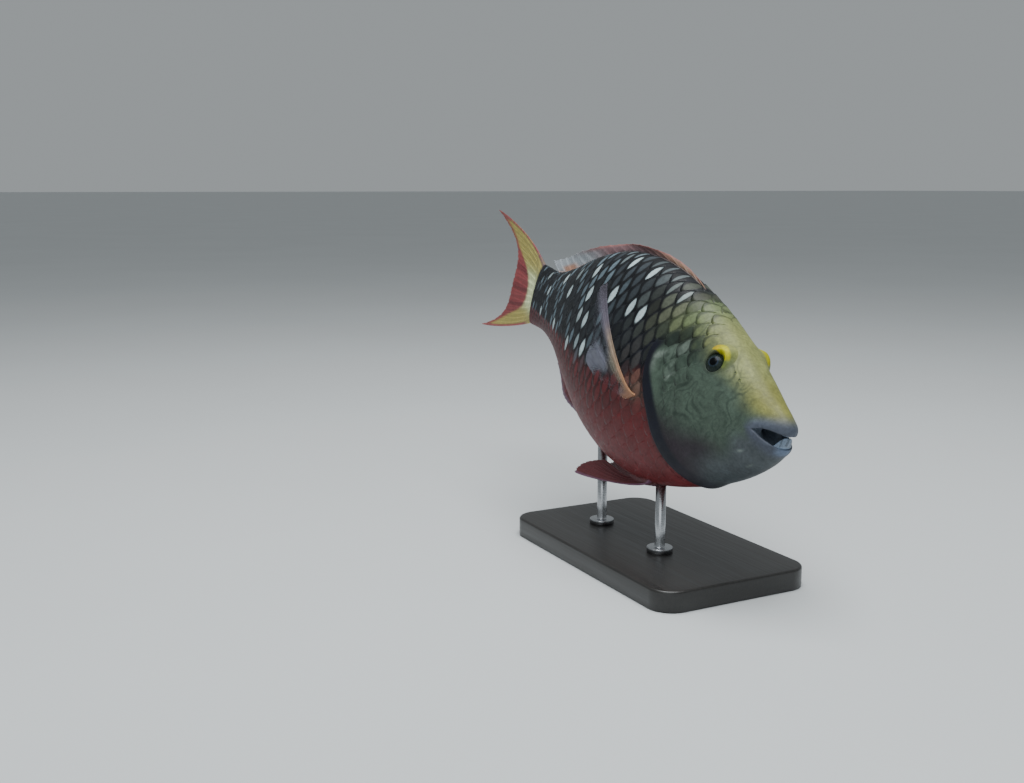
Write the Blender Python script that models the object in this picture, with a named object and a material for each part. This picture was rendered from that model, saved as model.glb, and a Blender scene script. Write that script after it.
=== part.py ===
"""A stoplight parrotfish at life size, in a turning, nose-down swimming pose, on a plain stand.

Units are metres and +Z is up. The origin is the middle of the stand's underside, and the fish
swims towards +X. The fish is worked out in its own frame: the tip of the snout is the zero, +X is
forward, +Y is its left side and +Z its back. Places on it are fractions of its standard length,
which runs from the snout to the root of the tail fin: u is how far back a point lies, and an angle
runs round the body from the left side (0) over the back (90 degrees) to the right side and belly.
"""

from dataclasses import dataclass
from math import pi, radians

import bmesh
import bpy
import numpy as np
from mathutils import Matrix, Vector

STANDARD_LENGTH = 0.300
TOUCH = 0.0003            # clearance between pieces that meet face to face
MM = 0.001

# Pose on the stand
NOSE_DOWN = radians(10.2)
BANK = radians(-9.8)      # the left side is the lower one
SNOUT_PLACE = (0.122, 0.0, 0.092)
BODY_BEND = radians(-9.7)     # heading of the tail root against the head
TAIL_FIN_RETURN = radians(7.5)
BEND_START = 0.30
BEND_REACH = 0.75
TAIL_RETURN_REACH = 0.25

# Body stations: u, height of the back, depth of the belly, half width, all in standard lengths
STATIONS = np.array([
    (0.010, 0.024, 0.024, 0.000),
    (0.030, 0.045, -0.038, 0.026),
    (0.060, 0.061, -0.070, 0.038),
    (0.120, 0.094, -0.114, 0.058),
    (0.200, 0.136, -0.156, 0.076),
    (0.300, 0.175, -0.193, 0.085),
    (0.400, 0.200, -0.207, 0.089),
    (0.500, 0.206, -0.197, 0.087),
    (0.600, 0.193, -0.168, 0.076),
    (0.700, 0.159, -0.124, 0.058),
    (0.800, 0.113, -0.081, 0.039),
    (0.900, 0.080, -0.063, 0.024),
    (1.000, 0.077, -0.069, 0.014),
])
SNOUT_U = STATIONS[0, 0]
WIDEST = 0.45             # height of the widest line between belly and back
SIDE_FULLNESS = 0.9       # under 1 the sides are fuller than an ellipse

# Gill cover: where its edge lies, from belly (-1) to back (1)
MARGIN_HEIGHT = (-1.0, -0.65, -0.38, -0.10, 0.12, 0.40, 0.70, 1.0)
MARGIN_U = (0.165, 0.225, 0.263, 0.295, 0.323, 0.335, 0.312, 0.280)
FLAP_RAISE = 1.4 * MM
FLAP_TUCK = 0.4 * MM
FLAP_REACH = 0.75         # share of the head's length before the flap starts to lift
FLAP_TOP = 0.62           # sine of the angle above which the cover is grown to the nape
FLAP_BLEND = 0.25
PARTING_GAP = 0.45 * MM   # along the body, so that sloping faces keep TOUCH
CORE = (0.265, 0.0, -0.010)
TAIL_PARTING = 0.80
TRUNK_FIRST_RING = 0.03   # share of the trunk's length, just behind its front rim

# Eye, brow and nostrils
EYE = (0.185, 0.083)      # u and height
EYE_RADIUS = 6.8 * MM
EYE_DEPTH = 4.7 * MM
BROW = (0.182, 0.106)
BROW_RAISE = 2.2 * MM
BROW_SPREAD = 5.5 * MM
NOSTRILS = ((0.128, 0.072), (0.142, 0.080))
NOSTRIL_RADIUS = 1.0 * MM

# Mouth, in u and height
UPPER_EDGE = ((0.010, 0.0145), (0.037, 0.0150), (0.052, 0.0125), (0.066, 0.0060))
LOWER_EDGE = ((0.012, -0.0130), (0.028, -0.0070), (0.048, -0.0015), (0.066, 0.0060))
GAPE_AHEAD = 0.030
GAPE_HALF_WIDTH = 0.10
UPPER_LIP_RADIUS = 3.0 * MM
LOWER_LIP_RADIUS = 2.2 * MM
LIP_END_RADIUS = 0.8 * MM
LIP_WALL = 1.9 * MM       # from the skin to the inside of the mouth
MOUTH_DEPTH = 4.5 * MM    # how far the mouth is hollowed past each edge
BEAK_POINTS = 17
BEAK_REACH = 0.80         # share of the way to the corners of the mouth
BEAK_END_ROOM = 1.2 * MM
BEAK_ROOT_ROOM = 0.5 * MM
BEAK_HALF = 0.9 * MM      # half thickness at the root
BEAK_EDGE_HALF = 0.4 * MM
UPPER_BEAK_PROUD = 0.6 * MM   # how far a tooth plate stands past its lip in front
LOWER_BEAK_PROUD = 4.6 * MM
UPPER_BEAK_BELL = 0.6     # share of the way to the corners at which it has fallen to a third
LOWER_BEAK_BELL = 0.3

# Stand
BASE_SIZE = (0.170, 0.100, 0.012)
BASE_CORNER = 14.0 * MM
BASE_SOFT_EDGE = 1.5 * MM
ROD_RADIUS = 3.0 * MM
ROD_COLLAR_RADIUS = 7.5 * MM
ROD_COLLAR_HEIGHT = 3.0 * MM
ROD_OVERLENGTH = 12.0 * MM    # cut away again by the belly's shape
ROD_PLACES = (("stand_rod_front", 0.300), ("stand_rod_rear", 0.520))
BELLY_CUTTER_REACH = (0.24, 0.78)

AROUND = 48
ROUND = np.arange(AROUND) * 2 * pi / AROUND
LEFT, RIGHT = 1, -1
BACK, BELLY = pi / 2, 3 * pi / 2


@dataclass(frozen=True)
class Finish:
    """Colour, roughness and metallic value of one material."""
    colour: tuple
    roughness: float
    metallic: float = 0.0


FINISHES = {
    "olive_head_skin": Finish((0.22, 0.24, 0.10), 0.45),
    "dark_flank_scales": Finish((0.05, 0.05, 0.07), 0.40),
    "red_tail_skin": Finish((0.26, 0.06, 0.07), 0.45),
    "red_fin": Finish((0.27, 0.07, 0.07), 0.50),
    "orange_fin": Finish((0.42, 0.20, 0.14), 0.50),
    "eye": Finish((0.02, 0.02, 0.02), 0.10),
    "beak_bone": Finish((0.48, 0.58, 0.66), 0.30),
    "black_wood": Finish((0.03, 0.03, 0.03), 0.55),
    "steel": Finish((0.60, 0.60, 0.62), 0.30, 1.0),
}


def ease(x):
    """Smooth step from 0 to 1."""
    x = np.clip(x, 0.0, 1.0)
    return x * x * (3 - 2 * x)


def curve(knots, values, at):
    """Smooth curve through the knots, whose slopes come from the neighbouring knots."""
    knots = np.asarray(knots, float)
    values = np.asarray(values, float)
    slopes = np.gradient(values, knots)
    left = np.clip(np.searchsorted(knots, at, side="right") - 1, 0, len(knots) - 2)
    step = knots[left + 1] - knots[left]
    t = (at - knots[left]) / step
    rise = values[left + 1] - values[left]
    bow = (1 - t) * (slopes[left] * step - rise) - t * (slopes[left + 1] * step - rise)
    return values[left] + t * rise + t * (1 - t) * bow


def section(u):
    """Back height, belly depth, height of the widest line and half width at u."""
    root = np.sqrt(STATIONS[:, 0] - SNOUT_U)
    at = np.sqrt(np.clip(u - SNOUT_U, 0.0, 1.0))
    back, belly, half = (curve(root, STATIONS[:, k], at) for k in (1, 2, 3))
    return back, belly, WIDEST * back + (1 - WIDEST) * belly, half


def heading(u):
    """Turn of the mid line at u: the body bends one way and the tail fin part of the way back."""
    bend = BODY_BEND * ease((u - BEND_START) / BEND_REACH)
    return bend + TAIL_FIN_RETURN * ease((u - 1.0) / TAIL_RETURN_REACH)


def place(u, y, z):
    """Point in the fish's frame, in metres, from fractions: u back, y to the left, z up."""
    u, y, z = np.broadcast_arrays(np.asarray(u, float), y, z)
    walk = np.linspace(-0.05, 1.6, 661)
    turn = heading(walk)
    ahead = np.concatenate([[0], np.cumsum((np.cos(turn[1:]) + np.cos(turn[:-1])) / 2)])
    aside = np.concatenate([[0], np.cumsum((np.sin(turn[1:]) + np.sin(turn[:-1])) / 2)])
    step = walk[1] - walk[0]
    line_x = -np.interp(u, walk, ahead * step + walk[0])
    line_y = -np.interp(u, walk, aside * step)
    turn = heading(u)
    return np.stack([line_x - np.sin(turn) * y, line_y + np.cos(turn) * y, z], -1) * STANDARD_LENGTH


def skin(u, angle, proud=0.0):
    """Point of the body's surface, moved out by proud metres."""
    back, belly, middle, half = section(u)
    c, s = np.cos(angle), np.sin(angle)
    reach = np.where(s >= 0, back - middle, middle - belly)
    out = proud / STANDARD_LENGTH
    y = half * np.sign(c) * np.abs(c) ** SIDE_FULLNESS + out * c
    return place(u, y, middle + reach * s + out * s)


def skin_normal(u, angle):
    """Unit vector that points out of the body's surface."""
    small = 1e-3
    along = skin(u + small, angle) - skin(u - small, angle)
    around = skin(u, angle + small) - skin(u, angle - small)
    normal = np.cross(around, -along)
    return normal / np.linalg.norm(normal, axis=-1, keepdims=True)


def angle_at(u, z, side):
    """Angle round the body at which its left or right side has the height z."""
    back, belly, middle, _ = section(u)
    reach = np.where(z >= middle, back - middle, middle - belly)
    rise = np.arcsin(np.clip((z - middle) / reach, -1, 1))
    return np.where(side == LEFT, rise, pi - rise)


def finish_material(name):
    """The named material, made once."""
    if name in bpy.data.materials:
        return bpy.data.materials[name]
    look = FINISHES[name]
    material = bpy.data.materials.new(name)
    material.use_nodes = True
    shader = material.node_tree.nodes["Principled BSDF"]
    shader.inputs["Base Color"].default_value = (*look.colour, 1.0)
    shader.inputs["Roughness"].default_value = look.roughness
    shader.inputs["Metallic"].default_value = look.metallic
    return material


def solid(name, points, faces, finish, parent=None):
    """Object of one closed mesh, with its faces turned outwards."""
    mesh = bpy.data.meshes.new(name)
    mesh.from_pydata(np.asarray(points).tolist(), [], faces)
    tidy = bmesh.new()
    tidy.from_mesh(mesh)
    if tidy.calc_volume(signed=True) < 0:
        bmesh.ops.reverse_faces(tidy, faces=tidy.faces)
    tidy.to_mesh(mesh)
    tidy.free()
    mesh.materials.append(finish_material(finish))
    mesh.shade_smooth()
    mesh.set_sharp_from_angle(angle=radians(40))
    piece = bpy.data.objects.new(name, mesh)
    bpy.context.scene.collection.objects.link(piece)
    piece.parent = parent
    return piece


def tube(name, rings, front, rear, finish, parent=None):
    """Closed tube through rings of points, with a fan from the middle of each end."""
    count, around, _ = rings.shape
    points = np.concatenate([rings.reshape(-1, 3), [front, rear]])
    tip, end = count * around, count * around + 1
    faces = []
    for k in range(around):
        after = (k + 1) % around
        faces.append((tip, k, after))
        for ring in range(count - 1):
            a, b = ring * around + k, ring * around + after
            faces += [(a, a + around, b + around), (a, b + around, b)]
        last = (count - 1) * around
        faces.append((end, last + after, last + k))
    return solid(name, points, faces, finish, parent)


def sheet(name, middle, half, finish, parent=None):
    """Thin closed plate: a grid of middle points, thickened by half to both sides.

    Both faces are split along the same diagonals, so that a thin curved plate can't cross itself.
    """
    rows, columns, _ = middle.shape
    across = np.cross(np.gradient(middle, axis=0), np.gradient(middle, axis=1))
    across /= np.linalg.norm(across, axis=-1, keepdims=True)
    offset = across * np.broadcast_to(half, (rows, columns))[..., None]
    points = np.concatenate([(middle + offset).reshape(-1, 3), (middle - offset).reshape(-1, 3)])
    under = rows * columns
    faces = []
    for i in range(rows - 1):
        for j in range(columns - 1):
            a = i * columns + j
            b, c, d = a + columns, a + columns + 1, a + 1
            faces += [(a, b, c), (a, c, d)]
            faces += [(a + under, c + under, b + under), (a + under, d + under, c + under)]
    border = list(range(columns))
    border += [i * columns + columns - 1 for i in range(1, rows)]
    border += [(rows - 1) * columns + j for j in range(columns - 2, -1, -1)]
    border += [i * columns for i in range(rows - 2, 0, -1)]
    for a, b in zip(border, border[1:] + border[:1]):
        faces += [(a, b, b + under), (a, b + under, a + under)]
    return solid(name, points, faces, finish, parent)


def ball(centre, radius, axis=(1, 0, 0), segments=16, rings=10):
    """Points and faces of a ball whose poles lie on the axis."""
    shape = bmesh.new()
    bmesh.ops.create_uvsphere(shape, u_segments=segments, v_segments=rings, radius=radius)
    turn = Vector((0, 0, 1)).rotation_difference(Vector(axis)).to_matrix().to_4x4()
    bmesh.ops.transform(shape, matrix=Matrix.Translation(centre) @ turn, verts=shape.verts)
    bmesh.ops.triangulate(shape, faces=shape.faces)
    points = [tuple(v.co) for v in shape.verts]
    faces = [tuple(v.index for v in f.verts) for f in shape.faces]
    shape.free()
    return points, faces


def keep_largest_surface(mesh):
    """Drop every closed surface of the mesh but the one that holds the most."""
    shape = bmesh.new()
    shape.from_mesh(mesh)
    unseen = set(shape.verts)
    parts = []
    while unseen:
        part = {unseen.pop()}
        edge_of_part = set(part)
        while edge_of_part:
            grown = {e.other_vert(v) for v in edge_of_part for e in v.link_edges}
            edge_of_part = grown & unseen
            unseen -= edge_of_part
            part |= edge_of_part
        parts.append(part)
    parts.sort(key=lambda part: len(part))
    for part in parts[:-1]:
        bmesh.ops.delete(shape, geom=list(part), context="VERTS")
    bmesh.ops.triangulate(shape, faces=shape.faces)
    shape.to_mesh(mesh)
    shape.free()


def combine(piece, others, operation):
    """Boolean of a piece with a collection of closed objects, applied, and the others removed."""
    group = bpy.data.collections.new("others")
    bpy.context.scene.collection.children.link(group)
    for other in others:
        group.objects.link(other)
    boolean = piece.modifiers.new("boolean", "BOOLEAN")
    boolean.operation = operation
    boolean.operand_type = "COLLECTION"
    boolean.collection = group
    bpy.context.view_layer.update()
    depsgraph = bpy.context.evaluated_depsgraph_get()
    result = bpy.data.meshes.new_from_object(piece.evaluated_get(depsgraph))
    piece.modifiers.clear()
    result.name = piece.name
    piece.data = result
    keep_largest_surface(result)
    result.shade_smooth()
    result.set_sharp_from_angle(angle=radians(40))
    for other in others:
        bpy.data.objects.remove(other)
    bpy.data.collections.remove(group)


def eye_centre(side):
    """Middle of the eyeball, sunk into the head, and the direction that it looks in."""
    u, z = EYE
    angle = angle_at(u, z, side)
    out = skin_normal(u, angle)
    return skin(u, angle) - out * EYE_DEPTH, out


def margin(angle):
    """Where the gill cover ends at an angle round the body."""
    return curve(MARGIN_HEIGHT, MARGIN_U, np.sin(angle))


def flap(angle):
    """Share of the gill cover that is free: 1 on the sides and below, 0 on the nape."""
    return ease((FLAP_TOP - np.sin(angle)) / FLAP_BLEND)


def head_lift(u, angle):
    """How far the head's surface stands out: the lifting gill flap and the brow over each eye."""
    lift = FLAP_RAISE * flap(angle) * ease((u / margin(angle) - FLAP_REACH) / (1 - FLAP_REACH))
    for side in (LEFT, RIGHT):
        u_brow, z_brow = BROW
        brow = skin(u_brow, angle_at(u_brow, z_brow, side))
        distance = np.linalg.norm(skin(u, angle) - brow, axis=-1)
        lift = lift + BROW_RAISE * np.exp(-(distance / BROW_SPREAD) ** 2)
    return lift


def parting_rings():
    """Facing rings of the head and trunk, whose fans from the core lie in the same planes."""
    edge = margin(ROUND)
    head_ring = skin(edge, ROUND, head_lift(edge, ROUND))
    core = place(*CORE)
    spokes = head_ring - core
    length = np.linalg.norm(spokes, axis=-1, keepdims=True)
    tuck = (head_lift(edge, ROUND) + FLAP_TUCK * flap(ROUND))[:, None]
    trunk_ring = core + spokes * (1 - tuck / length)
    back_step = np.array([-PARTING_GAP, 0, 0])
    return head_ring, core, trunk_ring + back_step, core + back_step


def mouth_edge(edge, u):
    """Height of the gape's upper or lower edge at u."""
    knots, heights = zip(*edge)
    return curve(knots, heights, np.clip(u, knots[0], knots[-1]))


def mouth_path(edge, lift, inset=0.0, count=17, reach=1.0):
    """Path round the mouth, from the right corner by the front to the left one, on the skin.

    It follows the gape's edge at a height lift above it, and inset moves it in, square to itself.
    """
    walk = np.linspace(SNOUT_U, edge[-1][0], 400)
    middle_lift = np.atleast_1d(lift)[np.size(lift) // 2]
    height = mouth_edge(edge, walk) + middle_lift / STANDARD_LENGTH
    back, belly, _, _ = section(walk)
    front = walk[(height < back) & (height > belly)][0]
    along = np.linspace(-1, 1, count) * reach
    u = front + (edge[-1][0] - front) * along ** 2
    z = mouth_edge(edge, u) + lift / STANDARD_LENGTH
    back, belly, middle, half = section(u)
    rise = np.clip((z - middle) / np.where(z >= middle, back - middle, middle - belly), -1, 1)
    y = half * np.sqrt(1 - rise ** 2) ** SIDE_FULLNESS * np.sign(along)
    path = place(u, y, z)
    inward = np.cross(np.gradient(path, axis=0), (0, 0, -1))
    inward /= np.linalg.norm(inward, axis=-1, keepdims=True)
    return path + inward * inset


def lip(name, edge, direction, front_radius):
    """Rounded roll along one edge of the gape, thinner at the corners."""
    count, sides = 19, 10
    bow = 1 - np.linspace(-1, 1, count) ** 2
    radius = LIP_END_RADIUS + (front_radius - LIP_END_RADIUS) * np.sqrt(bow)
    path = mouth_path(edge, direction * 0.5 * radius, 0.65 * front_radius, count)
    along = np.gradient(path, axis=0)
    along /= np.linalg.norm(along, axis=-1, keepdims=True)
    across = np.cross(along, (0.0, 0.0, 1.0))
    across /= np.linalg.norm(across, axis=-1, keepdims=True)
    up = np.cross(across, along)
    turn = np.arange(sides) * 2 * pi / sides
    rings = path[:, None] + radius[:, None, None] * (
        np.cos(turn)[None, :, None] * across[:, None] + np.sin(turn)[None, :, None] * up[:, None])
    return tube(name, rings, path[0], path[-1], "olive_head_skin")


def mouth_hollow(name, edge, direction):
    """Hollow behind one lip, which holds the tooth plate."""
    outline = mouth_path(edge, 0.0, LIP_WALL, BEAK_POINTS, BEAK_REACH)
    ends = outline[[0, -1]] - outline[[1, -2]]
    ends *= BEAK_END_ROOM / np.linalg.norm(ends, axis=-1, keepdims=True)
    outline = np.concatenate([[outline[0] + ends[0]], outline, [outline[-1] + ends[1]]])
    up = np.array([0, 0, direction])
    rings = np.array([outline - up * 1.5 * MM, outline + up * MOUTH_DEPTH])
    middles = rings.mean(axis=1)
    middles[1, 2] = direction * (direction * rings[1, :, 2]).max()
    return tube(name, rings, middles[0], middles[1], "olive_head_skin")


def gape():
    """Wedge that opens the mouth from side to side."""
    upper_u = np.array([-GAPE_AHEAD, 0.01, 0.022, 0.037, 0.052, 0.066])
    upper = [(u, mouth_edge(UPPER_EDGE, u)) for u in upper_u]
    lower_u = np.array([0.048, 0.028, 0.012, -GAPE_AHEAD])
    lower = [(u, mouth_edge(LOWER_EDGE, u)) for u in lower_u]
    outline = upper + lower
    count = len(outline)
    points = [place(u, side * GAPE_HALF_WIDTH, z) for side in (LEFT, RIGHT) for u, z in outline]
    faces = [tuple(range(count)), tuple(range(2 * count - 1, count - 1, -1))]
    faces += [(k, (k + 1) % count, count + (k + 1) % count, count + k) for k in range(count)]
    return solid("gape", points, faces, "olive_head_skin")


def head(fish):
    """Head with its lips, mouth, nostrils, brows, eye sockets and lifted gill covers."""
    head_ring, core, _, _ = parting_rings()
    share = np.linspace(0, 1, 23)[1:, None] ** 2
    u = SNOUT_U + share * (margin(ROUND)[None] - SNOUT_U)
    angle = np.broadcast_to(ROUND, u.shape)
    rings = skin(u, angle, head_lift(u, angle))
    rings[-1] = head_ring
    piece = tube("head", rings, skin(SNOUT_U, 0.0), core, "olive_head_skin")
    lips = [lip("upper lip", UPPER_EDGE, 1, UPPER_LIP_RADIUS),
            lip("lower lip", LOWER_EDGE, -1, LOWER_LIP_RADIUS)]
    combine(piece, lips, "UNION")
    cutters = [gape(), mouth_hollow("roof", UPPER_EDGE, 1), mouth_hollow("floor", LOWER_EDGE, -1)]
    for side in (LEFT, RIGHT):
        centre, out = eye_centre(side)
        cutters.append(solid("socket", *ball(centre, EYE_RADIUS + TOUCH, axis=out), "eye"))
        for u_pit, z_pit in NOSTRILS:
            pit = skin(u_pit, angle_at(u_pit, z_pit, side))
            cutters.append(solid("nostril", *ball(pit, NOSTRIL_RADIUS, segments=8, rings=6), "eye"))
    combine(piece, cutters, "DIFFERENCE")
    piece.parent = fish
    return piece


def trunk(fish):
    """Trunk from behind the gill covers to the tail stalk."""
    _, _, trunk_ring, core = parting_rings()
    edge = margin(ROUND)[None]
    share = np.concatenate([[TRUNK_FIRST_RING], np.linspace(0, 1, 15)[1:]])[:, None]
    u = edge + (TAIL_PARTING - edge) * share
    rings = skin(u, np.broadcast_to(ROUND, u.shape))
    rings = np.concatenate([trunk_ring[None], rings])
    rear = place(TAIL_PARTING, 0, section(TAIL_PARTING)[2])
    return tube("trunk", rings, core, rear, "dark_flank_scales", fish)


def tail_stalk(fish):
    """Short stalk that carries the tail fin."""
    start = TAIL_PARTING + TOUCH / STANDARD_LENGTH
    u = np.linspace(start, 1.0, 6)[:, None] + 0 * ROUND[None]
    rings = skin(u, np.broadcast_to(ROUND, u.shape))
    ends = [place(at, 0, section(at)[2]) for at in (start, 1.0)]
    return tube("tail_stalk", rings, ends[0], ends[1], "red_tail_skin", fish)


@dataclass(frozen=True)
class FinBuild:
    """Build of a rayed fin: counts, and half thicknesses in metres."""
    rays: int
    rows: int
    web: float = 0.32 * MM       # membrane
    ridge: float = 0.45 * MM     # what a ray adds to it
    tip: float = 0.24 * MM       # at the free edge
    root: float = 1.0 * MM       # where the fin leaves the body
    root_reach: float = 0.18
    ray_half_width: float = 0.7 * MM
    scallop: float = 0.03


def rayed_fin(name, surface, build, finish, fish, root_half=None):
    """Fin whose rays are ridges raised in the membrane's own surface.

    surface(t, v) gives the middle surface: t runs along a ray from root to tip, and v from the
    first ray to the last one. Each ray has a crest column with a foot column on either side.
    """
    t = np.linspace(0, 1, build.rows + 1) ** 1.25
    rays = np.arange(build.rays, dtype=float)
    line = surface(t[:, None], rays[None] / (build.rays - 1))
    spacing = np.linalg.norm(np.diff(line, axis=1), axis=-1)
    foot = np.clip(build.ray_half_width / np.maximum(spacing, 1e-5), 0.12, 0.36)
    columns = np.zeros((len(t), 3 * build.rays - 2))
    columns[:, 0::3] = rays
    columns[:, 1::3] = rays[:-1] + foot
    columns[:, 2::3] = rays[1:] - foot
    crest = np.zeros(columns.shape[1])
    crest[0::3] = 1.0
    along = t[:, None] - build.scallop * (1 - crest) * t[:, None] ** 3
    middle = surface(along, columns / (build.rays - 1))
    web = build.web + (build.tip - build.web) * t[:, None] ** 2
    ridge = build.ridge * crest * (1 - 0.85 * t[:, None])
    flare = 1 - ease(t[:, None] / build.root_reach)
    root = build.root if root_half is None else root_half(columns / (build.rays - 1))
    half = np.maximum(web + ridge, root * flare)
    return sheet(name, middle, half, finish, fish)


def tail_fin(fish):
    """Crescent tail fin with long corner lobes; it swings part of the way back."""
    upper, lower, middle_length = 0.355, 0.300, 0.168
    start = 1.0 + TOUCH / STANDARD_LENGTH
    root_low, root_high = -0.067, 0.075
    tip_low, tip_high = -0.152, 0.146

    def surface(t, v):
        side = 2 * v - 1
        lobe = np.where(side > 0, upper, lower)
        length = middle_length + (lobe - middle_length) * np.abs(side) ** 2.6
        root = root_low + (root_high - root_low) * v
        spread = np.sign(side) * np.abs(side) ** 0.95
        tip = (tip_low + tip_high) / 2 + (tip_high - tip_low) / 2 * spread
        z = root + (tip - root) * (1 - (1 - t) ** (1.25 + 0.35 * v))
        ripple = 0.004 * np.sin(3 * pi * v) * t ** 2
        return place(start + length * t, ripple, z)

    def root_half(v):
        return STANDARD_LENGTH * (0.0015 + 0.0115 * np.sqrt(np.clip(1 - (2 * v - 1) ** 2, 0, 1)))

    build = FinBuild(rays=13, rows=9, ridge=0.5 * MM, root_reach=0.30, scallop=0.02)
    return rayed_fin("caudal_fin", surface, build, "red_fin", fish, root_half)


def dorsal_fin(fish):
    """Long back fin: nine low, laid-back spines, then ten higher soft rays."""
    start, end = 0.328, 0.905
    knots = (0.0, 0.15, 0.40, 0.52, 0.64, 0.78, 0.90, 1.0)
    heights = (0.010, 0.013, 0.018, 0.025, 0.034, 0.040, 0.035, 0.020)
    slants = (0.030, 0.045, 0.050, 0.050, 0.052, 0.058, 0.060, 0.052)

    def surface(t, v):
        base = start + (end - start) * v
        slant = curve(knots, slants, v)
        height = curve(knots, heights, v)
        u = base + slant * t
        back = section(u)[0]
        lean = 0.006 * np.sin(5 * pi * v) * t ** 2
        return place(u, lean, back + TOUCH / STANDARD_LENGTH + height * t)

    build = FinBuild(rays=19, rows=4, web=0.45 * MM, ridge=0.45 * MM, scallop=0.10)
    return rayed_fin("dorsal_fin", surface, build, "red_fin", fish)


def anal_fin(fish):
    """Folded fin under the tail: three spines and nine soft rays."""
    start, end = 0.590, 0.775
    knots = (0.0, 0.25, 0.5, 0.75, 1.0)
    heights = (0.016, 0.031, 0.042, 0.049, 0.024)

    def surface(t, v):
        base = start + (end - start) * v
        u = base + 0.020 * t
        belly = section(u)[1]
        lean = 0.004 * np.sin(3 * pi * v) * t ** 2
        return place(u, lean, belly - TOUCH / STANDARD_LENGTH - curve(knots, heights, v) * t)

    build = FinBuild(rays=12, rows=4, web=0.45 * MM, scallop=0.08)
    return rayed_fin("anal_fin", surface, build, "red_fin", fish)


def swept(root, lift, tip, t):
    """Ray from its root to its tip, which leaves the root along lift and then bends over."""
    h_root = 2 * t ** 3 - 3 * t ** 2 + 1
    h_lift = t ** 3 - 2 * t ** 2 + t
    h_end = t ** 3 - t ** 2
    return root * h_root + tip * (1 - h_root) + lift * h_lift + (tip - root) * 0.8 * h_end


def pectoral_fin(fish, side):
    """Side fin, raised: the first ray points up and back, and the last one back."""
    name = "pectoral_fin_left" if side == LEFT else "pectoral_fin_right"
    knots = (0.0, 0.12, 0.26, 0.40, 0.55, 0.75, 1.0)
    lengths = (68.0, 66.0, 50.0, 42.0, 40.0, 37.0, 27.0)
    rises = (54.0, 50.5, 42.0, 36.0, 26.0, 17.0, 12.0)
    outs = (9.0, 12.0, 18.0, 22.0, 19.0, 18.0, 18.0)
    droop = 22.0 if side == LEFT else 0.0

    def surface(t, v):
        u = 0.337 + 0.026 * v
        z = -0.033 - 0.016 * v
        angle = angle_at(u, z, side)
        normal = skin_normal(u, angle)
        root = skin(u, angle) + normal * 1.5 * TOUCH
        rise, out = (np.radians(curve(knots, values, v)) for values in (rises, outs))
        rise = rise - np.radians(droop)
        length = curve(knots, lengths, v)[..., None] * MM
        way = np.stack([-np.cos(rise) * np.cos(out), side * np.sin(out), np.sin(rise)], -1)
        way = way / np.linalg.norm(way, axis=-1, keepdims=True)
        tip = root + way * length
        bow = np.array([-7.0, side * 1.5, -3.0]) * MM * np.sin(pi * t)[..., None]
        bend = swept(root, normal * length * 0.40, tip, t[..., None])
        return bend + bow * t[..., None] * (1 - v)[..., None]

    build = FinBuild(rays=11, rows=7, root=0.6 * MM, root_reach=0.15, ridge=0.4 * MM)
    return rayed_fin(name, surface, build, "orange_fin", fish)


def pelvic_fin(fish, side):
    """Belly fin, swept back: one spine and five soft rays."""
    name = "pelvic_fin_left" if side == LEFT else "pelvic_fin_right"

    def surface(t, v):
        u = 0.305 + 0.070 * v
        belly_angle = BELLY + side * np.radians(14 - 6 * v)
        normal = skin_normal(u, belly_angle)
        root = skin(u, belly_angle) + normal * TOUCH
        tip = place(0.535 + 0.045 * v * (1 - v) - 0.066 * v ** 1.5, side * (0.040 - 0.021 * v),
                    -0.268 + 0.056 * v)
        length = np.linalg.norm(tip - root, axis=-1, keepdims=True)
        t, v = t[..., None], v[..., None]
        ray = swept(root, normal * length * (0.25 + 0.35 * v), tip, t)
        return ray + normal * 12.0 * MM * t ** 2 * (1 - t) * (1 - v)

    build = FinBuild(rays=6, rows=8, root=1.2 * MM, ridge=0.5 * MM, web=0.4 * MM, root_reach=0.2)
    return rayed_fin(name, surface, build, "red_fin", fish)


def eye(fish, side):
    """Eyeball in its socket."""
    centre, out = eye_centre(side)
    name = "eye_left" if side == LEFT else "eye_right"
    return solid(name, *ball(centre, EYE_RADIUS, axis=out), "eye", fish)


def beak(fish, name, edge, direction):
    """Fused tooth plate: it stands in the hollow behind a lip and shows a little past it."""
    inset = LIP_WALL + 1.2 * TOUCH + BEAK_HALF
    outline = mouth_path(edge, 0.0, inset, BEAK_POINTS, BEAK_REACH)
    proud, bell = ((UPPER_BEAK_PROUD, UPPER_BEAK_BELL) if direction > 0 else
                   (LOWER_BEAK_PROUD, LOWER_BEAK_BELL))
    along = np.linspace(-1, 1, BEAK_POINTS) * BEAK_REACH
    top = -direction * proud * np.exp(-(along / bell) ** 2)
    bottom = direction * (MOUTH_DEPTH - BEAK_ROOT_ROOM)
    t = np.linspace(0, 1, 4)[:, None]
    middle = np.repeat(outline[None], 4, axis=0)
    middle[..., 2] += bottom + (top - bottom) * t
    half = BEAK_HALF + (BEAK_EDGE_HALF - BEAK_HALF) * t ** 2
    return sheet(name, middle, half, "beak_bone", fish)


def stand_base():
    """Flat base with round corners and a soft upper edge, its underside on the floor."""
    length, width, thick = BASE_SIZE
    soft = BASE_SOFT_EDGE
    turn = np.arange(24) * 2 * pi / 24 + pi / 24
    levels = ((0.0, 0.0), (0.0, thick - soft), (0.3 * soft, thick - 0.3 * soft), (soft, thick))
    rings = []
    for inward, height in levels:
        radius = BASE_CORNER - inward
        x = np.sign(np.cos(turn)) * (length / 2 - BASE_CORNER) + radius * np.cos(turn)
        y = np.sign(np.sin(turn)) * (width / 2 - BASE_CORNER) + radius * np.sin(turn)
        rings.append(np.stack([x, y, np.full_like(x, height)], -1))
    return tube("stand_base", np.array(rings), (0, 0, 0), (0, 0, thick), "black_wood")


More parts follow.
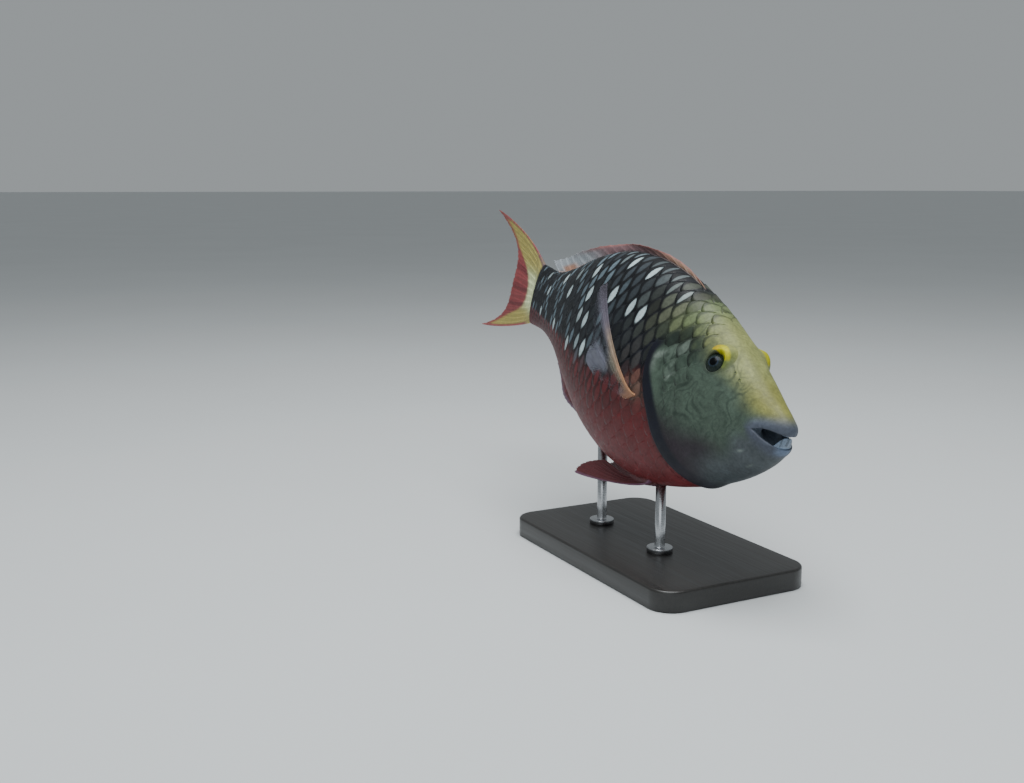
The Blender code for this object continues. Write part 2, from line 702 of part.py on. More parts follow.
def rod(name, fish_matrix, u):
    """Upright rod with a collar at its foot, cut off just under the belly."""
    sides = 20
    belly = fish_matrix @ Vector(skin(u, BELLY))
    foot = BASE_SIZE[2] + TOUCH
    collar_top = foot + ROD_COLLAR_HEIGHT
    profile = ((ROD_COLLAR_RADIUS, foot), (ROD_COLLAR_RADIUS, foot + 0.6 * ROD_COLLAR_HEIGHT),
               (0.8 * ROD_COLLAR_RADIUS, collar_top), (ROD_RADIUS, collar_top),
               (ROD_RADIUS, belly.z + ROD_OVERLENGTH))
    turn = np.arange(sides) * 2 * pi / sides
    rings = np.array([[(belly.x + r * np.cos(a), belly.y + r * np.sin(a), z) for a in turn]
                      for r, z in profile])
    ends = [(belly.x, belly.y, z) for z in (profile[0][1], profile[-1][1])]
    piece = tube(name, rings, ends[0], ends[1], "steel")
    u_ring = np.linspace(*BELLY_CUTTER_REACH, 14)[:, None] + 0 * ROUND[None]
    belly_rings = skin(u_ring, np.broadcast_to(ROUND, u_ring.shape), TOUCH)
    ends = [place(at, 0, section(at)[2]) for at in BELLY_CUTTER_REACH]
    cutter = tube("belly", belly_rings, ends[0], ends[1], "steel")
    cutter.matrix_world = fish_matrix
    combine(piece, [cutter], "DIFFERENCE")
    return piece


def fish_frame():
    """Empty that carries the fish: the snout's place, the nose-down pitch and the bank."""
    fish = bpy.data.objects.new("fish", None)
    bpy.context.scene.collection.objects.link(fish)
    turn = Matrix.Rotation(NOSE_DOWN, 4, "Y") @ Matrix.Rotation(BANK, 4, "X")
    fish.location = SNOUT_PLACE
    fish.rotation_euler = turn.to_euler()
    bpy.context.view_layer.update()
    return fish


def main():
    """Build the fish and its stand."""
    for old in list(bpy.data.objects):
        bpy.data.objects.remove(old)
    fish = fish_frame()
    head(fish)
    trunk(fish)
    tail_stalk(fish)
    tail_fin(fish)
    dorsal_fin(fish)
    anal_fin(fish)
    for side in (LEFT, RIGHT):
        pectoral_fin(fish, side)
        pelvic_fin(fish, side)
        eye(fish, side)
    beak(fish, "beak_upper", UPPER_EDGE, 1)
    beak(fish, "beak_lower", LOWER_EDGE, -1)
    stand_base()
    for name, u in ROD_PLACES:
        rod(name, fish.matrix_world.copy(), u)


if __name__ == "__main__":
    main()
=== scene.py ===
"""A stoplight parrotfish at life size on a plain display stand, dressed for its portrait.

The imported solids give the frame, in metres with +Z up. Places on the fish use its own frame: the tip
of the snout is zero, +X is forward, +Y its left side and +Z its back. There, u is how far back a
point lies and y and z are its offsets, all as fractions of the standard length, and an angle runs
round the body from the left side (0) over the back (90 degrees) to the right side and the belly.
A height on the body is the sine of that angle. Colours are linear, or sRGB as hex values.
"""

import logging
from dataclasses import dataclass
from enum import Enum
from math import pi, radians
from typing import Callable

import bpy
import numpy as np
from mathutils import Matrix

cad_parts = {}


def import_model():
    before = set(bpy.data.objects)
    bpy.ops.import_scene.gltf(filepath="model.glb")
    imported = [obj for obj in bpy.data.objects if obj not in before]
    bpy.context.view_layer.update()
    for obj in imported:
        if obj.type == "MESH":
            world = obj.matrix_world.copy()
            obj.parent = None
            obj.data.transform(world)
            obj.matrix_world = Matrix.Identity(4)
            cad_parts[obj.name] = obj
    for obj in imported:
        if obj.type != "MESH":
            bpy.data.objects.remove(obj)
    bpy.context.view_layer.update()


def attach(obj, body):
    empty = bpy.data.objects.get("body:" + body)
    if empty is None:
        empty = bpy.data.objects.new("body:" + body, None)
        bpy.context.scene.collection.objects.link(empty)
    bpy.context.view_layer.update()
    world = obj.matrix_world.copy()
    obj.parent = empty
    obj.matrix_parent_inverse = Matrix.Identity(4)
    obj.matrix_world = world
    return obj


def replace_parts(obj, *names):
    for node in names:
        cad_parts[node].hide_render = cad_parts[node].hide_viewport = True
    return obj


Array = np.ndarray
Material = bpy.types.Material
Piece = bpy.types.Object
Socket = bpy.types.NodeSocket
Tree = bpy.types.NodeTree
MM = 0.001
BACK, BELLY = pi / 2, 3 * pi / 2
BODY = "root"
FORWARD = np.array([1.0, 0.0, 0.0])
LOG = logging.getLogger("parrotfish")


class Side(Enum):
    """The two sides of the fish; the value is the sign of y."""

    LEFT = 1
    RIGHT = -1

    @property
    def word(self) -> str:
        """The side as the names of pieces have it."""
        return self.name.lower()


def linear(code: str) -> Array:
    """Linear red, green and blue of an sRGB hex value."""
    values = np.array([int(code[k:k + 2], 16) / 255 for k in (1, 3, 5)])
    return np.where(values <= 0.04045, values / 12.92, ((values + 0.055) / 1.055) ** 2.4)


def ease(x: Array) -> Array:
    """Smooth step from 0 to 1."""
    x = np.clip(x, 0.0, 1.0)
    return x * x * (3 - 2 * x)


def rise(x: Array, low: float, high: float) -> Array:
    """Smooth step that is 0 at low and 1 at high."""
    return ease((np.asarray(x, float) - low) / (high - low))


def fall(x: Array, low: float, high: float) -> Array:
    """Smooth step that is 1 at low and 0 at high."""
    return rise(-np.asarray(x, float), -high, -low)


def mix(first: Array | str, second: Array | str, share: Array) -> Array:
    """Colours that go from the first (share 0) to the second (share 1)."""
    first, second = (linear(c) if isinstance(c, str) else c for c in (first, second))
    return first + (second - first) * np.asarray(share, float)[..., None]


def paint(ground: Array | str, *coats: tuple[Array | str, Array]) -> Array:
    """Colour of a ground under coats that are laid over it in turn.

    Args:
        ground: the colour to start from.
        coats: colours, each with the share that it covers.

    Returns:
        Linear colours.
    """
    for colour, share in coats:
        ground = mix(ground, colour, share)
    return ground


def circle(count: int) -> Array:
    """Angles of a full turn in even steps."""
    return np.arange(count) * 2 * pi / count


def unit(vectors: Array) -> Array:
    """The vectors at length one."""
    return vectors / np.maximum(np.linalg.norm(vectors, axis=-1, keepdims=True), 1e-12)


def curve(knots: Array, values: Array, at: Array) -> Array:
    """Smooth curve through the knots: cubic pieces whose slopes come from the neighbouring knots.

    Args:
        knots: places of the knots, rising.
        values: the curve's value at each knot.
        at: places to read the curve at.

    Returns:
        The curve's values, shaped like at.
    """
    knots = np.asarray(knots, float)
    values = np.asarray(values, float)
    slopes = np.gradient(values, knots)
    left = np.clip(np.searchsorted(knots, at, side="right") - 1, 0, len(knots) - 2)
    step = knots[left + 1] - knots[left]
    t = (at - knots[left]) / step
    climb = values[left + 1] - values[left]
    bow = (1 - t) * (slopes[left] * step - climb) - t * (slopes[left + 1] * step - climb)
    return values[left] + t * climb + t * (1 - t) * bow


def held_curve(line: tuple, at: Array) -> Array:
    """Smooth curve through a line's knots and values, level past both its ends."""
    return curve(*line, np.clip(at, line[0][0], line[0][-1]))


def grid_quads(rows: int, columns: int, wrap_rows: bool = False, wrap_columns: bool = False,
               start: int = 0) -> Array:
    """Four-sided faces of a grid of points that is numbered row by row.

    Args:
        rows: number of rows.
        columns: number of columns.
        wrap_rows: whether the last row joins the first.
        wrap_columns: whether the last column joins the first.
        start: number of the grid's first point.

    Returns:
        Array of faces, four point numbers each.
    """
    i = np.arange(rows if wrap_rows else rows - 1)[:, None]
    j = np.arange(columns if wrap_columns else columns - 1)[None]
    below = (i + 1) % rows
    after = (j + 1) % columns
    corners = (i * columns + j, below * columns + j, below * columns + after, i * columns + after)
    return start + np.stack(np.broadcast_arrays(*corners), -1).reshape(-1, 4)


def add_piece(name: str, points: Array, faces: list[Array], material: Material,
              colours: dict[str, Array] | None = None, marks: dict[str, Array] | None = None,
              bake_places: Array | None = None) -> Piece:
    """Puts arrays of points and faces into a closed mesh object that rides on the fish's body.

    The faces are turned to point outwards, by the sign of the volume they enclose.

    Args:
        name: the piece's name.
        points: places of the points in the row frame, in metres.
        faces: arrays of faces, each with one count of corners.
        material: the piece's finish.
        colours: linear colours at the points, by name.
        marks: single numbers at the points, by name.
        bake_places: place of each point on the bake map, or None.

    Returns:
        The new object.
    """
    points = points.reshape(-1, 3)
    corners = [points[block] for block in faces]
    volume = sum((c[:, 0] * np.cross(c[:, k], c[:, k + 1])).sum()
                 for c in corners for k in range(1, c.shape[1] - 1))
    if volume < 0:
        faces = [block[:, ::-1] for block in faces]
    loops = np.concatenate([block.ravel() for block in faces])
    counts = np.concatenate([np.full(len(block), block.shape[1]) for block in faces])
    mesh = bpy.data.meshes.new(name)
    mesh.vertices.add(len(points))
    mesh.vertices.foreach_set("co", points.astype(np.float32).ravel())
    mesh.loops.add(len(loops))
    mesh.loops.foreach_set("vertex_index", loops.astype(np.int32))
    mesh.polygons.add(len(counts))
    mesh.polygons.foreach_set("loop_start", (np.cumsum(counts) - counts).astype(np.int32))
    mesh.update(calc_edges=True)
    for mark, values in (colours or {}).items():
        full = np.ones((len(points), 4), np.float32)
        full[:, :3] = np.clip(values.reshape(-1, 3), 0, 1)
        mesh.color_attributes.new(mark, "FLOAT_COLOR", "POINT").data.foreach_set("color", full.ravel())
    for mark, values in (marks or {}).items():
        mesh.attributes.new(mark, "FLOAT", "POINT").data.foreach_set(
            "value", np.asarray(values, np.float32).ravel())
    if bake_places is not None:
        uv = mesh.uv_layers.new(name="OFBake")
        uv.data.foreach_set("uv", bake_places.reshape(-1, 2)[loops].astype(np.float32).ravel())
    mesh.shade_smooth()
    mesh.materials.append(material)
    piece = bpy.data.objects.new(name, mesh)
    bpy.context.scene.collection.objects.link(piece)
    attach(piece, BODY)
    return piece


def plate(upper: Array, lower: Array) -> tuple[Array, list[Array]]:
    """Closed thin plate between two grids of points that lie face to face.

    Args:
        upper: grid of points of one face, shaped rows by columns by 3.
        lower: grid of points of the other face.

    Returns:
        The points, and the faces of both sides and of the rim.
    """
    rows, columns, _ = upper.shape
    count = rows * columns
    top = grid_quads(rows, columns)
    under = grid_quads(rows, columns, start=count)[:, ::-1]
    numbers = np.arange(count).reshape(rows, columns)
    rim = np.concatenate([numbers[0, :-1], numbers[:-1, -1], numbers[-1, :0:-1], numbers[:0:-1, 0]])
    after = np.roll(rim, -1)
    edge = np.stack([rim, after, after + count, rim + count], -1)
    return np.concatenate([upper.reshape(-1, 3), lower.reshape(-1, 3)]), [top, under, edge]


def lathe(rings: Array, first: Array, last: Array) -> tuple[Array, list[Array]]:
    """Closed tube of rings with a fan to a point at either end.

    Args:
        rings: points, shaped rings by points in a ring by 3.
        first: the point that closes the first ring.
        last: the point that closes the last ring.

    Returns:
        The points, with both ends last, and the side's quads and the fans' triangles.
    """
    count, around, _ = rings.shape
    k = np.arange(around)
    after = (k + 1) % around
    tip, end = np.full(around, count * around), np.full(around, count * around + 1)
    foot = (count - 1) * around
    fans = [np.stack([tip, k, after], -1), np.stack([end, foot + after, foot + k], -1)]
    points = np.concatenate([rings.reshape(-1, 3), [first, last]])
    return points, [grid_quads(count, around, wrap_columns=True), np.concatenate(fans)]


@dataclass(frozen=True)
class Body:
    """Shape and pose of the parrotfish, in fractions of its standard length."""

    length: float = 0.300
    nose_down: float = radians(10.2)
    bank: float = radians(-9.8)
    snout_place: tuple = (0.122, 0.0, 0.092)
    body_bend: float = radians(-9.7)
    tail_return: float = radians(7.5)
    bend_start: float = 0.30
    bend_reach: float = 0.75
    return_reach: float = 0.25
    # u, height of the back, depth of the belly, half width
    stations: tuple = (
        (0.010, 0.024, 0.024, 0.000), (0.030, 0.045, -0.038, 0.026), (0.060, 0.061, -0.070, 0.038),
        (0.120, 0.094, -0.114, 0.058), (0.200, 0.136, -0.156, 0.076), (0.300, 0.175, -0.193, 0.085),
        (0.400, 0.200, -0.207, 0.089), (0.500, 0.206, -0.197, 0.087), (0.600, 0.193, -0.168, 0.076),
        (0.700, 0.159, -0.124, 0.058), (0.800, 0.113, -0.081, 0.039), (0.900, 0.080, -0.063, 0.024),
        (1.000, 0.077, -0.069, 0.014))
    widest: float = 0.45
    fullness: float = 0.9
    # edge of the gill cover, from the belly (-1) to the back (1)
    margin_height: tuple = (-1.0, -0.65, -0.38, -0.10, 0.12, 0.40, 0.70, 1.0)
    margin_u: tuple = (0.165, 0.225, 0.263, 0.295, 0.323, 0.335, 0.312, 0.280)
    flap_raise: float = 1.4 * MM
    flap_reach: float = 0.75
    flap_top: float = 0.62
    brow: tuple = (0.176, 0.101)
    brow_raise: float = 2.0 * MM
    brow_spread: float = 5.5 * MM
    # the mid line is walked from ahead of the snout to past the tips of the tail, in even steps
    walk: tuple = (-0.05, 1.6, 661)
    head_reach: float = 0.16  # farther than any point of the head from a point inside it, in metres

    @property
    def snout_u(self) -> float:
        """Where the tip of the snout lies."""
        return self.stations[0][0]

    def section(self, u: Array) -> tuple[Array, Array, Array, Array]:
        """Back height, belly depth, height of the widest line and half width at u.

        Args:
            u: places along the fish.

        Returns:
            The four sizes, each shaped like u.
        """
        stations = np.array(self.stations)
        root = np.sqrt(stations[:, 0] - self.snout_u)
        at = np.sqrt(np.clip(u - self.snout_u, 0.0, 1.0))
        back, belly, half = (curve(root, stations[:, k], at) for k in (1, 2, 3))
        return back, belly, self.widest * back + (1 - self.widest) * belly, half

    def heading(self, u: Array) -> Array:
        """Turn of the mid line at u."""
        bend = self.body_bend * ease((u - self.bend_start) / self.bend_reach)
        return bend + self.tail_return * ease((u - 1.0) / self.return_reach)

    def place(self, u: Array, y: Array, z: Array) -> Array:
        """Points in the fish's frame, in metres.

        The mid line is the running sum of short steps along its heading, and y is laid off square
        to it.

        Args:
            u: how far back each point lies.
            y: its offset to the left.
            z: its height.

        Returns:
            The points.
        """
        u, y, z = np.broadcast_arrays(np.asarray(u, float), y, z)
        walk = np.linspace(*self.walk)
        turn = self.heading(walk)
        ahead = np.concatenate([[0], np.cumsum((np.cos(turn[1:]) + np.cos(turn[:-1])) / 2)])
        aside = np.concatenate([[0], np.cumsum((np.sin(turn[1:]) + np.sin(turn[:-1])) / 2)])
        step = walk[1] - walk[0]
        line_x = -np.interp(u, walk, ahead * step + walk[0])
        line_y = -np.interp(u, walk, aside * step)
        turn = self.heading(u)
        return np.stack([line_x - np.sin(turn) * y, line_y + np.cos(turn) * y, z], -1) * self.length

    def skin(self, u: Array, angle: Array, proud: Array | float = 0.0) -> Array:
        """Points of the body's surface: half ovals above and below the widest line.

        Args:
            u: places along the fish.
            angle: angles round the body.
            proud: how far the points stand off the surface, in metres.

        Returns:
            The points in the fish's frame.
        """
        back, belly, middle, half = self.section(u)
        c, s = np.cos(angle), np.sin(angle)
        reach = np.where(s >= 0, back - middle, middle - belly)
        out = proud / self.length
        y = half * np.sign(c) * np.abs(c) ** self.fullness + out * c
        return self.place(u, y, middle + reach * s + out * s)

    def normal(self, u: Array, angle: Array) -> Array:
        """Unit vectors that point out of the body's surface.

        Args:
            u: places along the fish.
            angle: angles round the body.

        Returns:
            The vectors, from the cross product of two short steps on the surface.
        """
        small = 1e-3
        along = self.skin(u + small, angle) - self.skin(u - small, angle)
        around = self.skin(u, angle + small) - self.skin(u, angle - small)
        return unit(np.cross(around, -along))

    def angle_at(self, u: Array, z: Array, side: Side) -> Array:
        """Angle round the body at which one side has the height z."""
        turn = np.arcsin(np.clip(self.lean(u, z), -1, 1))
        return turn if side is Side.LEFT else pi - turn

    def lean(self, u: Array, z: Array) -> Array:
        """How far z lies from the widest line towards the back (1) or the belly (-1) at u."""
        back, belly, middle, _ = self.section(u)
        return (z - middle) / np.maximum(np.where(z >= middle, back - middle, middle - belly), 1e-6)

    def round_place(self, place: tuple, away: Array, turn: Array, side: Side) -> tuple[Array, Array]:
        """Places on one side at distances from a place there."""
        u = place[0] - away * np.cos(turn) / self.length
        return u, self.angle_at(u, place[1] + away * np.sin(turn) / self.length, side)

    def across(self, points: Array) -> tuple[Array, Array, Array]:
        """Place u of points on the unbent front, and where they lie across its section.

        Args:
            points: points in the fish's frame.

        Returns:
            u, and two coordinates in which the skin is the unit circle.
        """
        u, y, z = np.moveaxis(points * (-1, 1, 1) / self.length, -1, 0)
        half = np.maximum(self.section(u)[3], 1e-6)
        return u, np.sign(y) * (np.abs(y) / half) ** (1 / self.fullness), self.lean(u, z)

    def reach_from(self, centre: Array, ways: Array) -> Array:
        """Where rays from a point inside the head leave its skin, by halving the interval.

        Args:
            centre: the point the rays start from.
            ways: unit vectors of the rays.

        Returns:
            The points on the skin.
        """
        near, far = np.zeros(ways.shape[:-1]), np.full(ways.shape[:-1], self.head_reach)
        for _ in range(32):
            middle = (near + far) / 2
            u, c, s = self.across(centre + ways * middle[..., None])
            inside = (s * s + c * c < 1) & (u > self.snout_u)
            near, far = np.where(inside, middle, near), np.where(inside, far, middle)
        return centre + ways * near[..., None]

    def margin(self, angle: Array) -> Array:
        """Where the gill cover ends at an angle round the body."""
        return curve(self.margin_height, self.margin_u, np.sin(angle))

    def flap(self, angle: Array) -> Array:
        """Share of the gill cover that is free: 1 on the sides and below, 0 on the nape."""
        return rise(-np.sin(angle), -self.flap_top, 0.25 - self.flap_top)

    def head_lift(self, u: Array, angle: Array) -> Array:
        """How far the head stands out: the lifting gill cover and the brow over each eye.

        Args:
            u: places along the fish.
            angle: angles round the body.

        Returns:
            The lift in metres.
        """
        along = (u / self.margin(angle) - self.flap_reach) / (1 - self.flap_reach)
        lift = self.flap_raise * self.flap(angle) * ease(along)
        for side in Side:
            u_brow, z_brow = self.brow
            top = self.skin(u_brow, self.angle_at(u_brow, z_brow, side))
            distance = np.linalg.norm(self.skin(u, angle) - top, axis=-1)
            lift = lift + self.brow_raise * np.exp(-(distance / self.brow_spread) ** 2)
        return lift

    def to_row(self, points: Array) -> Array:
        """Points of the fish's frame, pitched, banked and moved to its place over the stand."""
        turn = Matrix.Rotation(self.nose_down, 3, "Y") @ Matrix.Rotation(self.bank, 3, "X")
        return points @ np.array(turn).T + np.array(self.snout_place)


@dataclass(frozen=True)
class Markings:
    """Colours of the initial phase, as a function of the place on the body."""

    body: Body
    forehead: str = "#80844E"
    snout: str = "#75753A"
    nape: str = "#63704A"
    cheek: str = "#425045"
    behind_eye: str = "#1F2D26"
    opercle: str = "#251B24"
    chin: str = "#41474A"
    lip: str = "#4A505C"
    mouth: str = "#56606C"
    gill_band: str = "#050818"
    flank: str = "#0A0E17"
    belly: str = "#5A171A"
    belly_deep: str = "#69272A"
    stalk_red: str = "#561E25"
    armpit: str = "#775E53"
    eye_yellow: str = "#A8A400"
    eye_orange: str = "#B08A00"
    eye_green: str = "#6B7A2C"
    pale_patch: str = "#8C988E"
    # where black gives way to red: u, and the height there
    red_line: tuple = ((0.20, 0.34, 0.39, 0.46, 0.57, 0.66, 0.76, 0.88, 0.95, 1.05),
                       (0.30, 0.22, 0.09, -0.06, -0.15, -0.17, -0.28, -0.42, -0.38, -0.30))
    # painted shade of the crease from the top of the gill cover to the eye, likewise, and the pale streak
    # under it
    crease: tuple = ((0.220, 0.266, 0.295, 0.334), (0.82, 0.70, 0.57, 0.46))
    crease_shade_half: float = 0.05
    streak_below: float = 0.125
    streak_half: float = 0.035
    # pale blots on the head: u and height of the middle, reach in both, strength
    pale_blots: tuple = (((0.268, 0.30), (0.004, 0.05), 0.7), ((0.318, 0.30), (0.010, 0.07), 0.5),
                         ((0.075, -0.34), (0.005, 0.03), 0.4), ((0.06, -0.80), (0.005, 0.03), 0.3),
                         ((0.160, 0.80), (0.012, 0.07), 0.3))

    def blot(self, u: Array, height: Array, at: tuple, size: tuple) -> Array:
        """Soft spot: 1 in its middle and falling off as a bell."""
        return np.exp(-((u - at[0]) / size[0]) ** 2 - ((height - at[1]) / size[1]) ** 2)

    def depth(self, u: Array, height: Array) -> Array:
        """How far a place lies below the line where the black flank ends."""
        return curve(*self.red_line, u) - height

    def redness(self, u: Array, height: Array) -> Array:
        """Share of red below that line."""
        return rise(self.depth(u, height), -0.07, 0.07)

    def head(self, u: Array, height: Array) -> Array:
        """Colour of the head, laid on from the cheek outwards, with the painted shade of the crease behind
        the eye last.

        Args:
            u: places along the fish.
            height: their heights.

        Returns:
            Linear colours.
        """
        above = height - held_curve(self.crease, u)
        beside = rise(u, 0.235, 0.262)
        streak = np.exp(-((above + self.streak_below) / self.streak_half) ** 2)
        pale = 0.75 * beside * streak * (0.45 + 0.55 * rise(u, 0.29, 0.32))
        for at, size, strength in self.pale_blots:
            pale = np.maximum(pale, strength * self.blot(u, height, at, size))
        return paint(
            self.cheek,
            (self.forehead, rise(height, 0.55, 0.92)),
            (self.snout, rise(height, 0.35, 0.85) * fall(u, 0.07, 0.13)),
            (self.nape, rise(u, 0.20, 0.28) * rise(height, 0.6, 0.85)),
            (self.behind_eye, 0.85 * self.blot(u, height, (0.245, 0.66), (0.05, 0.17))),
            (self.opercle, fall(height, -0.42, 0.0) * rise(u, 0.08, 0.16)),
            (linear(self.opercle) * 0.62, 0.75 * rise(u, 0.19, 0.26) * fall(height, -0.25, 0.15)),
            (self.chin, fall(height, -0.75, -0.25) * fall(u, 0.11, 0.20)),
            (self.chin, fall(height, -0.15, 0.25) * fall(u, 0.075, 0.115)),
            (self.pale_patch, pale),
            # painted shade: a darker copy of the colour behind the eye along the crease
            (linear(self.behind_eye) * 0.35, 0.85 * beside * np.exp(-(above / self.crease_shade_half) ** 2)))

    def trunk(self, u: Array, height: Array) -> Array:
        """Colour of the trunk and tail stalk: black above, brick red below.

        Args:
            u: places along the fish.
            height: their heights.

        Returns:
            Linear colours.
        """
        front = rise(-u - 0.10 * (height - 0.75), -0.36, -0.27) * rise(height, 0.40, 0.80)
        dark = mix(self.flank, linear(self.nape) * 0.8, front)
        red = paint(self.belly,
                    (self.belly_deep, fall(height, -0.95, -0.35)),
                    (self.stalk_red, rise(u, 0.70, 0.86)),
                    (self.armpit, self.blot(u, height, (0.345, 0.02), (0.035, 0.13))))
        return mix(dark, red, self.redness(u, height))

    def colour(self, u: Array, angle: Array) -> Array:
        """Colour of the skin.

        Args:
            u: places along the fish.
            angle: angles round the body.

        Returns:
            Linear colours.
        """
        height = np.sin(angle)
        margin = self.body.margin(angle)
        past = np.where(self.body.flap(angle) > 0.5, rise(u - margin, -0.002, 0.002),
                        rise(u - margin, -0.035, 0.035))
        behind = u - margin - 0.014 * rise(height, 0.05, 0.30)
        band = rise(behind, -0.038, -0.025) * fall(height, 0.46, 0.60) * (1 - rise(behind, 0.0, 0.010))
        return paint(self.head(u, height), (self.trunk(u, height), past),
                     (self.gill_band, band * (1 - 0.75 * fall(height, -0.95, -0.60))))

    def lines(self, u: Array, angle: Array) -> Array:
        """Strength of the dark winding lines on the head.

        Args:
            u: places along the fish.
            angle: angles round the body.

        Returns:
            Strength from 0 to 1.
        """
        height = np.sin(angle)
        before = rise(self.body.margin(angle) - u, 0.02, 0.05)
        cheek = rise(u, 0.06, 0.12) * (0.25 + 0.75 * rise(height, -0.40, 0.0))
        return before * cheek * (1 - 0.70 * rise(height, 0.80, 0.95))


@dataclass(frozen=True)
class Mouth:
    """Open mouth: its edge on the skin, lips and inner walls."""

    body: Body
    upper_edge: tuple = ((0.010, 0.037, 0.052, 0.066), (0.0145, 0.0150, 0.0125, 0.0060))
    lower_edge: tuple = ((0.012, 0.028, 0.048, 0.066), (-0.0130, -0.0070, -0.0015, 0.0060))
    # width and height of the lips at the front and at the corners
    upper_lip: tuple = (8.0 * MM, 0.75 * MM)
    lower_lip: tuple = (5.2 * MM, 0.60 * MM)
    corner_lip: tuple = (2.8 * MM, 0.4 * MM)
    middle: tuple = (0.060, 0.0, 0.003)
    throat: tuple = (0.092, 0.0, 0.001)
    # rings of the lining: millimetres in from the edge and up into the jaw, and shares out of the throat
    walls: tuple = ((6.2, 2.9), (5.2, 3.0), (4.2, 2.9), (3.4, 3.2), (2.7, 3.0), (2.3, 2.0), (1.9, 0.9),
                    (1.2, 0.1), (0.5, -0.15))
    deep: tuple = (0.15, 0.35, 0.6, 0.82)

    def front(self, edge: tuple) -> float:
        """The foremost u at which the edge lies on the skin."""
        walk = np.linspace(self.body.snout_u, edge[0][-1], 800)
        back, belly, _, _ = self.body.section(walk)
        height = held_curve(edge, walk)
        return float(walk[(height < back) & (height > belly)][0])

    def edge_line(self, edge: tuple, along: Array) -> Array:
        """Points of one edge; along runs from -1, the right corner, by the front to 1, the left.

        Args:
            edge: the upper or the lower edge.
            along: places on it.

        Returns:
            The points on the skin.
        """
        front = self.front(edge)
        u = front + (edge[0][-1] - front) * along ** 2
        z = held_curve(edge, u)
        lean = np.clip(self.body.lean(u, z), -1, 1)
        y = self.body.section(u)[3] * np.sqrt(1 - lean ** 2) ** self.body.fullness * np.sign(along)
        return self.body.place(u, y, z)

    def line(self, turn: Array) -> Array:
        """Closed edge of the mouth: the turn is 0 at the left corner and 90 degrees above.

        Args:
            turn: angles round the mouth.

        Returns:
            The points on the skin.
        """
        along = np.cos(turn)
        upper = self.edge_line(self.upper_edge, along)
        lower = self.edge_line(self.lower_edge, along)
        return np.where((np.sin(turn) >= 0)[:, None], upper, lower)

    def lip_size(self, turn: Array) -> tuple[Array, Array]:
        """Width and height of the lip round the mouth.

        Args:
            turn: angles round the mouth.

        Returns:
            Both sizes in metres.
        """
        full = np.abs(np.sin(turn)) ** 0.8
        above = rise(np.sin(turn), -0.15, 0.15)
        sizes = []
        for k in (0, 1):
            front = self.lower_lip[k] + (self.upper_lip[k] - self.lower_lip[k]) * above
            sizes.append(self.corner_lip[k] + (front - self.corner_lip[k]) * full)
        return sizes[0], sizes[1]

    def inner_rings(self, turn: Array) -> Array:
        """Rings of the mouth's lining, from the throat out to the lips.

        Each ring is the edge drawn towards the mouth's middle and lifted into the jaw.

        Args:
            turn: angles round the mouth.

        Returns:
            Rings of points.
        """
        edge = self.line(turn)
        middle = self.body.place(*self.middle)
        throat = self.body.place(*self.throat)
        inward = unit((middle - edge) * (1, 1, 0))
        lift = (np.sin(turn) / (np.abs(np.sin(turn)) + 0.12))[:, None] * np.array([0, 0, 1.0])
        rings = [edge + (inward * inset + lift * raised) * MM for inset, raised in self.walls]
        deep = [throat + (rings[0] - throat) * share * (1, 1, 0.8) for share in self.deep]
        return np.array(deep + rings)


